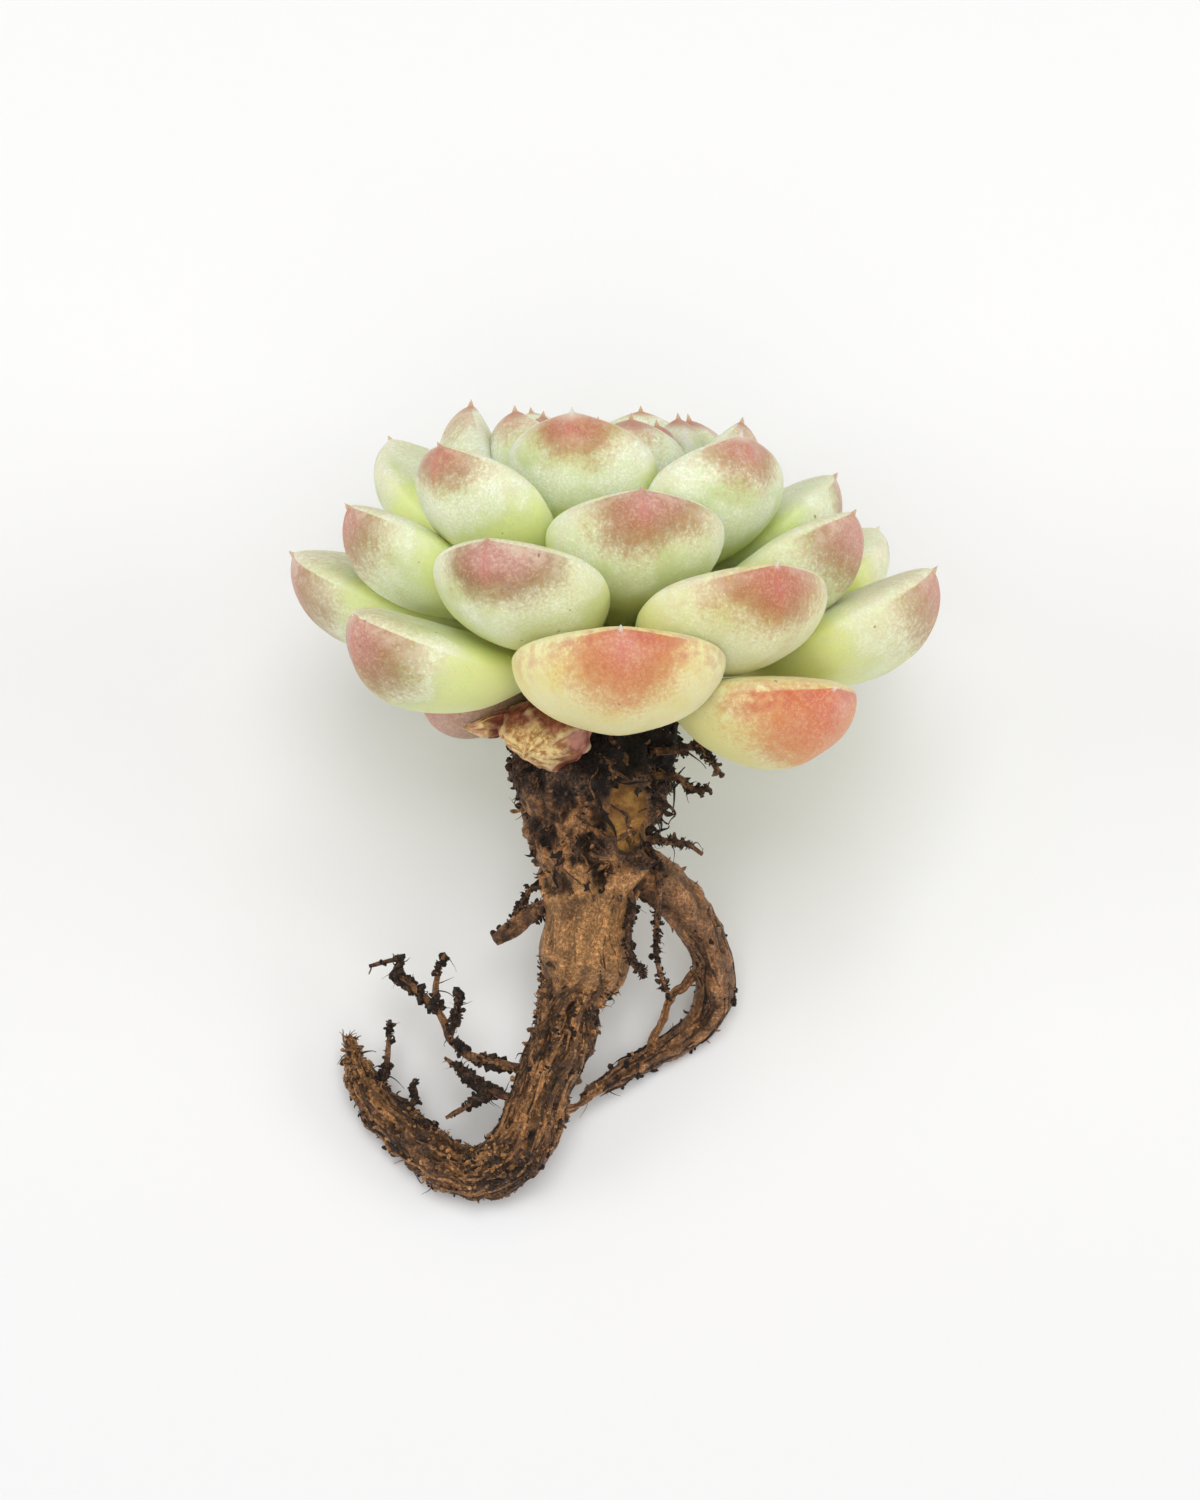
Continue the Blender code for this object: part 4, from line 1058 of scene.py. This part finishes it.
def bark_material(name, weathered, bare_wood):
    """Bark or root skin; marks say how bare, how soiled and how dark each place is."""
    material, t, shader, where = new_material(name)
    bark = t.node("ShaderNodeGroup", node_tree=weathered)
    t.link(where, bark.inputs["Vector"])
    t.link(t.mark("peat"), bark.inputs["Peat"])
    soil = bark.outputs["Mask"]
    worn = t.ramp(t.noise(where, 0.45, 4.0, 0.7), 0.36, 0.56, 0.42, 0.80)
    colour = t.mix(t.times(t.mark("tan"), worn), bark.outputs["Color"], bare_wood)
    colour = t.mix(t.times(soil, 0.9), colour, bark.outputs["Color"])
    gritty = t.ramp(t.noise(where, 0.30, 3.0, 0.8), 0.36, 0.64, 0.66, 1.74)
    # The shade mark darkens the colour: random tone on crumbs and strands, painted shade and highlight on the
    # tube skins.
    shade = t.times(t.ramp(t.mark("shade"), 0.0, 1.0, 0.17, 1.48), gritty)
    grey = t.node("ShaderNodeCombineColor")
    for channel in range(3):
        t.link(shade, grey.inputs[channel])
    colour = t.mix(1.0, colour, grey.outputs[0], "MULTIPLY")
    blotches = t.ramp(t.noise(where, 1.5, 4.0, 0.6), 0.35, 0.65)
    ochre = t.mix(blotches, (0.300, 0.125, 0.022), (0.640, 0.325, 0.070))
    colour = t.mix(t.times(t.mark("ochre"), 0.9), colour, ochre)
    t.link(colour, shader.inputs["Base Color"])
    t.link(t.ramp(soil, 0.0, 1.0, 0.38, 0.85), shader.inputs["Roughness"])
    shader.inputs["Specular IOR Level"].default_value = 0.5
    t.bump(shader, t.plus(bark.outputs["Height"], t.times(gritty, 0.5)), 0.9, 0.00042)
    return material


def floor_material():
    """Plain pale matt surface with painted shade: a little darker toward the near side, where the roots lie.
    """
    material, t, shader, where = new_material("pale_floor")
    apart = t.node("ShaderNodeSeparateXYZ")
    t.link(where, apart.inputs[0])
    # Painted shade: the floor colour darkens toward the near side, standing in for the light falling off
    # there.
    painted_shade_tone = t.mix(t.ramp(apart.outputs["Y"], -0.10, 0.06), (0.812, 0.810, 0.812), (0.872, 0.870, 0.868))
    t.link(painted_shade_tone, shader.inputs["Base Color"])
    shader.inputs["Roughness"].default_value = 0.8
    shader.inputs["Specular IOR Level"].default_value = 0.2
    return material


# ---------------------------------------------------------------- bark, soil and roots as pieces

def raised(rings):
    """How far each point of a tube skin stands above or below its surroundings, in mm."""
    size = np.linalg.norm(rings - rings.mean(axis=1, keepdims=True), axis=2)
    soft = size
    for hop in (1, 2, 4, 6):
        ahead = np.concatenate((soft[hop:], np.repeat(soft[-1:], hop, axis=0)))
        behind = np.concatenate((np.repeat(soft[:1], hop, axis=0), soft[:-hop]))
        soft = (soft + ahead + behind + np.roll(soft, hop, axis=1) + np.roll(soft, -hop, axis=1)) / 5.0
    return size - soft


def stem_peat(s, points):
    """Soil lies thick on the collar and on the far part of the root, thin on the bare stem."""
    peat = 0.32 + 0.16 * step(0.335, 0.30, s) + 0.40 * step(0.26, 0.21, s) + 0.15 * step(0.43, 0.50, s)
    clods = 0.26 * step(0.0, 0.5, grain(points, 4.0, 33.0)) * step(0.43, 0.50, s)
    return np.clip(peat + 0.12 * grain(points, 5.0, 31.0) + clods, 0.0, 0.95)


def stem_tan(s, points):
    """Bare tan wood between the collar and the root, and torn bits of it on the collar."""
    bare = step(0.28, 0.34, s) * step(0.50, 0.43, s) * (0.85 + 0.30 * grain(points, 2.5, 12.0))
    torn = 0.55 * step(0.20, 0.27, s) * step(0.36, 0.32, s) * step(0.05, 0.40, layered(points, 2.4, 52.0, 3))
    return np.clip(np.maximum(bare, torn), 0.0, 1.0)


def bark_marks(rings, peat_of, tan_of):
    """Soil, bare-wood and shade values for a tube's rings; shade is random tone plus painted shade: dark in
    hollows, light on ridges, near black on the soiled stem under the leaves.
    """
    count, sides, _ = rings.shape
    s = np.repeat(np.linspace(0.0, 1.0, count)[:, None], sides, axis=1)
    # Painted shade and highlight: darker where the skin sits below its surroundings, lighter where it stands
    # out; the noise gives random tone.
    shade = 0.55 + 0.28 * layered(rings, 2.0, 41.0, 3) + 1.6 * raised(rings)
    # Painted shade: the stem's top under the rosette, in the leaves' shadow, is darkened almost to black.
    if peat_of is stem_peat:
        shade = shade * (0.04 + 0.96 * step(0.195, 0.265, s + 0.03 * grain(rings, 2.5, 9.0)))
    return {"peat": peat_of(s, rings), "tan": tan_of(s, rings), "shade": np.clip(shade, 0.0, 1.0)}


def root_piece(name, node, routes, sides, strength, peat, tan, per_mm=5.0, slim=1.0):
    """A root and its branches: tubes joined in one piece that stands for one node."""
    parts = []
    for number, route in enumerate(routes):
        route_array = np.array(route) * np.array((1.0, 1.0, 1.0, slim))
        length = np.linalg.norm(np.diff(route_array[:, :3], axis=0), axis=1).sum()
        rings = tube(route_array, int(length * per_mm) + 8, sides, root_shape(strength), 0.12, 3.0 + number)
        parts.append((rings, bark_marks(rings, lambda s, p: np.full(s.shape, peat),
                                        lambda s, p: np.full(s.shape, tan))))
    points, walls, fans, values = join_rings(parts)
    make_piece(name, points, walls, fans, values, BARK_SKINS["root"], (node,))
    return [rings for rings, _ in parts]


def soil_on(name, rings, count, seed, size, likely, slot="root", peat=1.0, tan=0.0, sink=0.2, light=1.0):
    """Crumbs scattered over a tube skin, thickest where likely(s, angle, point) is near 1."""
    _, _, spot, out = on_skin(rings, count, seed, likely)
    sizes = size * (0.35 + 1.1 * pick(len(spot), seed + 12.0) ** 2)
    places = spot + out * (sizes * (0.5 - sink))[:, None]
    return crumb_piece(name, places, sizes, seed, slot, peat, tan, light)


def hairs_on(name, rings, count, seed, likely, hair_seed, length, radius):
    """Fine root hairs scattered over a tube skin, most where likely(s, angle, point) is near 1."""
    _, _, spot, out = on_skin(rings, count, seed, likely)
    return hairs(name, spot, out, length, radius, hair_seed, "root")


# ---------------------------------------------------------------- build the plant

bloom = speckle_group()
leaf_skin = leaf_material("leaf_skin", bloom)
dry_skin = withered_material()
weathered = bark_group()
BARK_SKINS = {                       # finish of each bark slot
    "bark": bark_material("stem_bark", weathered, (0.570, 0.285, 0.104)),
    "root": bark_material("root_bark", weathered, (0.450, 0.222, 0.098)),
}

for index in range(LEAF_FIRST, LEAF_LAST + 1):
    plump_leaf(index, leaf_skin)
for name in WITHERED:
    withered_leaf(name, dry_skin)

# The stem and main root: one skin, then fibres, scars and flakes between two shares of its length
stem_rings = tube(STEM_ROUTE, *STEM_GRID, stem_shape, 0.03, 2.0)
walls, fans = ring_faces(*STEM_GRID)
marks = {key: ring_values(value) for key, value in bark_marks(stem_rings, stem_peat, stem_tan).items()}
marks["ochre"] = ring_values(ochre_share(stem_rings))
make_piece("stem_bark_skin", ring_points(stem_rings), walls, fans, marks, BARK_SKINS["bark"],
           ("stem_main_root",))
fibres("collar_fibres", stem_rings, 110, 3.0, low=0.20, high=0.33, length=0.04, width=0.22, peel=1.0,
       sink=0.4, peat=0.52, tan=0.3, slot="bark")
ridges("leaf_scars", stem_rings, 12, 4.0, low=0.20, high=0.315, span=0.7, width=0.26, peat=0.75, tan=0.10,
       slot="bark")
fibres("stem_streaks", stem_rings, 90, 5.0, low=0.30, high=0.45, length=0.07, width=0.13, peel=0.1,
       sink=0.6, peat=0.40, tan=0.7, slot="bark")
fibres("root_fibres", stem_rings, 540, 7.0, low=0.44, high=0.995, length=0.09, width=0.21, peel=0.5,
       sink=0.4, peat=0.42, tan=0.35, slot="bark")
curls("collar_flakes", stem_rings, 420, 11.0, low=0.15, high=0.335, size=1.3, slot="bark",
      peat=0.58, tan=0.42)
curls("stem_flakes", stem_rings, 16, 13.0, low=0.32, high=0.43, size=0.9, slot="bark", peat=0.50, tan=0.3)
curls("root_flakes", stem_rings, 620, 17.0, low=0.43, high=0.99, size=0.8, slot="bark", peat=0.44, tan=0.5)

# Soil and bark grit on the stem and main root
soil_on("collar_soil", stem_rings, 3600, 21.0, 0.42,
        lambda s, a, p: (step(0.12, 0.14, s) * step(0.31, 0.20, s) * step(-0.5, 0.5, grain(p, 2.5, 3.0))
                         * (1.0 - ochre_share(p))),
        "bark", sink=0.3, light=0.25)
soil_on("root_soil", stem_rings, 5200, 27.0, 0.24,
        lambda s, a, p: step(0.42, 0.47, s) * step(-0.15, 0.55, grain(p, 3.0, 8.0)), "bark")
soil_on("root_grit", stem_rings, 5200, 28.0, 0.24,
        lambda s, a, p: step(0.41, 0.47, s) * step(-0.3, 0.5, grain(p, 2.0, 38.0)), "bark", peat=0.2, tan=0.8)
soil_on("collar_grit", stem_rings, 1600, 29.0, 0.30,
        lambda s, a, p: step(0.15, 0.19, s) * step(0.34, 0.29, s) * step(-0.3, 0.5, grain(p, 2.0, 48.0)),
        "bark", peat=0.3, tan=0.6)

# The side root that loops back to the main root
side_rings = root_piece("side_root_skin", "side_root", [SIDE_ROUTE, SIDE_TWIG, SIDE_TAIL], 72, strength=1.2,
                        peat=0.40, tan=0.55, per_mm=7.0)[0]
fibres("side_root_fibres", side_rings, 120, 33.0, low=0.30, high=0.99, length=0.20, width=0.17, peel=0.4,
       sink=0.4, peat=0.44, tan=0.3, slot="root")
curls("side_root_flakes", side_rings, 90, 35.0, low=0.10, high=0.97, size=0.8, slot="root")
soil_on("side_root_soil", side_rings, 900, 37.0, 0.34,
        lambda s, a, p: step(0.35, 0.60, s) * step(-0.2, 0.6, grain(p, 2.5, 18.0)))

# Thin roots: routes, points round, lumpiness, soil, bare wood, crumbs, crumb size, hairs
THIN_ROOTS = {
    "stub_root": ([STUB_ROUTE, STUB_TWIG], 40, 0.6, 0.42, 0.40, 120, 0.26, 5),
    "fine_root_1": ([TANGLE_ROUTE, TANGLE_TWIG_1, TANGLE_TWIG_2], 18, 0.5, 0.46, 0.25, 1700, 0.36, 34),
    "fine_root_2": ([LOWER_ROUTE, LOWER_TWIG], 18, 0.5, 0.46, 0.25, 900, 0.36, 18),
    "fine_root_3": ([HAIR_ROUTE_1], 18, 0.4, 0.50, 0.25, 110, 0.24, 9),
    "fine_root_4": ([HAIR_ROUTE_2], 18, 0.5, 0.50, 0.25, 120, 0.26, 8),
    "rootlet_1": ([CURL_ROUTE_1], 16, 0.4, 0.50, 0.3, 30, 0.28, 4),
    "rootlet_2": ([CURL_ROUTE_2], 16, 0.4, 0.50, 0.3, 30, 0.28, 4),
    "rootlet_3": ([CURL_ROUTE_3], 16, 0.4, 0.50, 0.4, 26, 0.28, 4),
    "rootlet_4": ([HOOK_ROUTE_1], 16, 0.4, 0.50, 0.25, 110, 0.26, 8),
    "rootlet_5": ([HOOK_ROUTE_2], 16, 0.4, 0.50, 0.25, 60, 0.26, 5),
}
for number, (node, (routes, sides, strength, peat, tan, soil, lump, hair)) in enumerate(THIN_ROOTS.items()):
    slim = 1.0 if node == "stub_root" else SLIM_ROOT
    skins = root_piece(node + "_skin", node, routes, sides, strength, peat, tan, slim=slim)
    spots, ways = [], []
    for n, rings in enumerate(skins):
        share = len(rings) / sum(len(r) for r in skins)
        seed = 50.0 + 4.0 * number + n
        soil_on("%s_soil_%d" % (node, n + 1), rings, int(soil * share) + 6, seed, lump,
                lambda s, a, p: 0.04 + 0.96 * step(-0.20, 0.25, grain(p, 1.5, 60.0)))
        _, _, spot, out = on_skin(rings, int(hair * share) + 2, seed + 1.5, lambda s, a, p: np.ones(len(s)))
        spots.append(spot)
        ways.append(out)
    hairs(node + "_hairs", np.concatenate(spots), np.concatenate(ways), 1.9, 0.07, 90.0 + number, "root")
    for n, rings in enumerate(skins):
        curls("%s_flakes_%d" % (node, n + 1), rings, 10 + 2 * len(rings), 120.0 + 4.0 * number + n,
              low=0.05, high=0.98, size=0.74, slot="root", peat=0.85, tan=0.10, clump=60.0)

# Hairs: on the main root's near side, at its frayed end, on the side root, and stray strands on the collar
hairs_on("main_root_hairs", stem_rings, 150, 71.0,
         lambda s, a, p: (step(0.42, 0.50, s) * 0.45 + step(0.33, 0.2, s) * 0.4) * (p[:, 1] < 0.0),
         73.0, 1.7, 0.08)
_, _, spot, out = on_skin(stem_rings, 1100, 75.0, lambda s, a, p: step(0.93, 0.97, s) * 0.7)
end_way = np.array(STEM_ROUTE[-1][:3]) - np.array(STEM_ROUTE[-3][:3])
end_way = end_way / np.linalg.norm(end_way)
hairs("frayed_end", spot, 0.30 * out + end_way, 1.9, 0.16, 76.0, "root", droop=0.1, peat=0.35)
hairs_on("side_root_hairs", side_rings, 34, 77.0, lambda s, a, p: step(0.2, 0.6, s), 79.0, 1.6, 0.07)
_, _, spot, out = on_skin(stem_rings, 500, 81.0, lambda s, a, p: step(0.16, 0.18, s) * step(0.32, 0.30, s))
right = np.flatnonzero((spot[:, 0] > 3.0) & (out[:, 2] > -0.5))[:16]
hairs("collar_strands", spot[right], out[right], 3.6, 0.24, 83.0, "bark", peat=0.7)

WHISKER_STEPS = 40
whisker, whisker_radius = smooth_route(WHISKER_ROUTE, WHISKER_STEPS)
strand_piece("loose_whisker", whisker[None], np.full((1, WHISKER_STEPS, 3), SKEW_UP), whisker_radius[None],
             whisker_radius[None], 6, 85.0, 0.5, 0.2, "root")


# ---------------------------------------------------------------- floor, camera and light

FLOOR_HALF = 1.5
CAMERA_ELEVATION = 65.5
CAMERA_DISTANCE = 0.450
FRAME_HEIGHT = 0.150          # height of the view at the plant
AIM_HEIGHT = 0.0207
SENSOR = 36.0
LAMP_COLOUR = (0.965, 0.978, 1.0)
WORLD_COLOUR = (1.0, 0.970, 0.930, 1.0)
WORLD_STRENGTH = 0.42


def soft_light(name, place, aim, width, depth, watts):
    """A rectangular area light turned toward a point."""
    light = bpy.data.lights.new(name, "AREA")
    light.shape = "RECTANGLE"
    light.size = width
    light.size_y = depth
    light.energy = watts
    light.color = LAMP_COLOUR
    lamp = bpy.data.objects.new(name, light)
    toward = np.array(aim) - np.array(place)
    toward = toward / np.linalg.norm(toward)
    lamp.location = place
    lamp.rotation_euler = (math.acos(-toward[2]), 0.0, math.atan2(-toward[0], toward[1]))
    bpy.context.scene.collection.objects.link(lamp)
    return lamp


floor = bpy.data.meshes.new("floor")
corners = [(x * FLOOR_HALF, y * FLOOR_HALF, 0.0) for x, y in ((-1, -1), (1, -1), (1, 1), (-1, 1))]
floor.from_pydata(corners, [], [(0, 1, 2, 3)])
floor.materials.append(floor_material())
floor_object = bpy.data.objects.new("floor", floor)
bpy.context.scene.collection.objects.link(floor_object)

centre = SHIFT * MM
elevation = math.radians(CAMERA_ELEVATION)
camera = bpy.data.cameras.new("camera")
camera.sensor_width = SENSOR
camera.lens = SENSOR * CAMERA_DISTANCE / FRAME_HEIGHT
camera.clip_start = 0.01
camera_object = bpy.data.objects.new("camera", camera)
camera_object.location = (centre[0], centre[1] - CAMERA_DISTANCE * math.cos(elevation),
                          AIM_HEIGHT + centre[2] + CAMERA_DISTANCE * math.sin(elevation))
camera_object.rotation_euler = (0.5 * math.pi - elevation, 0.0, 0.0)
bpy.context.scene.collection.objects.link(camera_object)
bpy.context.scene.camera = camera_object

soft_light("overhead", (0.02, 0.06, 1.60), (0.0, 0.0, 0.0), 0.95, 0.90, 10.9)
soft_light("front_fill", (0.0, -0.95, 1.30), (0.0, 0.0, 0.02), 1.20, 0.90, 5.4)
soft_light("right_fill", (1.30, -0.10, 0.75), (0.0, 0.0, 0.02), 0.90, 0.60, 5.4)
soft_light("left_fill", (-1.30, -0.10, 0.75), (0.0, 0.0, 0.02), 0.90, 0.60, 5.2)

world = bpy.data.worlds.new("studio")
world.use_nodes = True
world.node_tree.nodes["Background"].inputs["Color"].default_value = WORLD_COLOUR
world.node_tree.nodes["Background"].inputs["Strength"].default_value = WORLD_STRENGTH
bpy.context.scene.world = world
bpy.context.scene.view_settings.view_transform = "Standard"
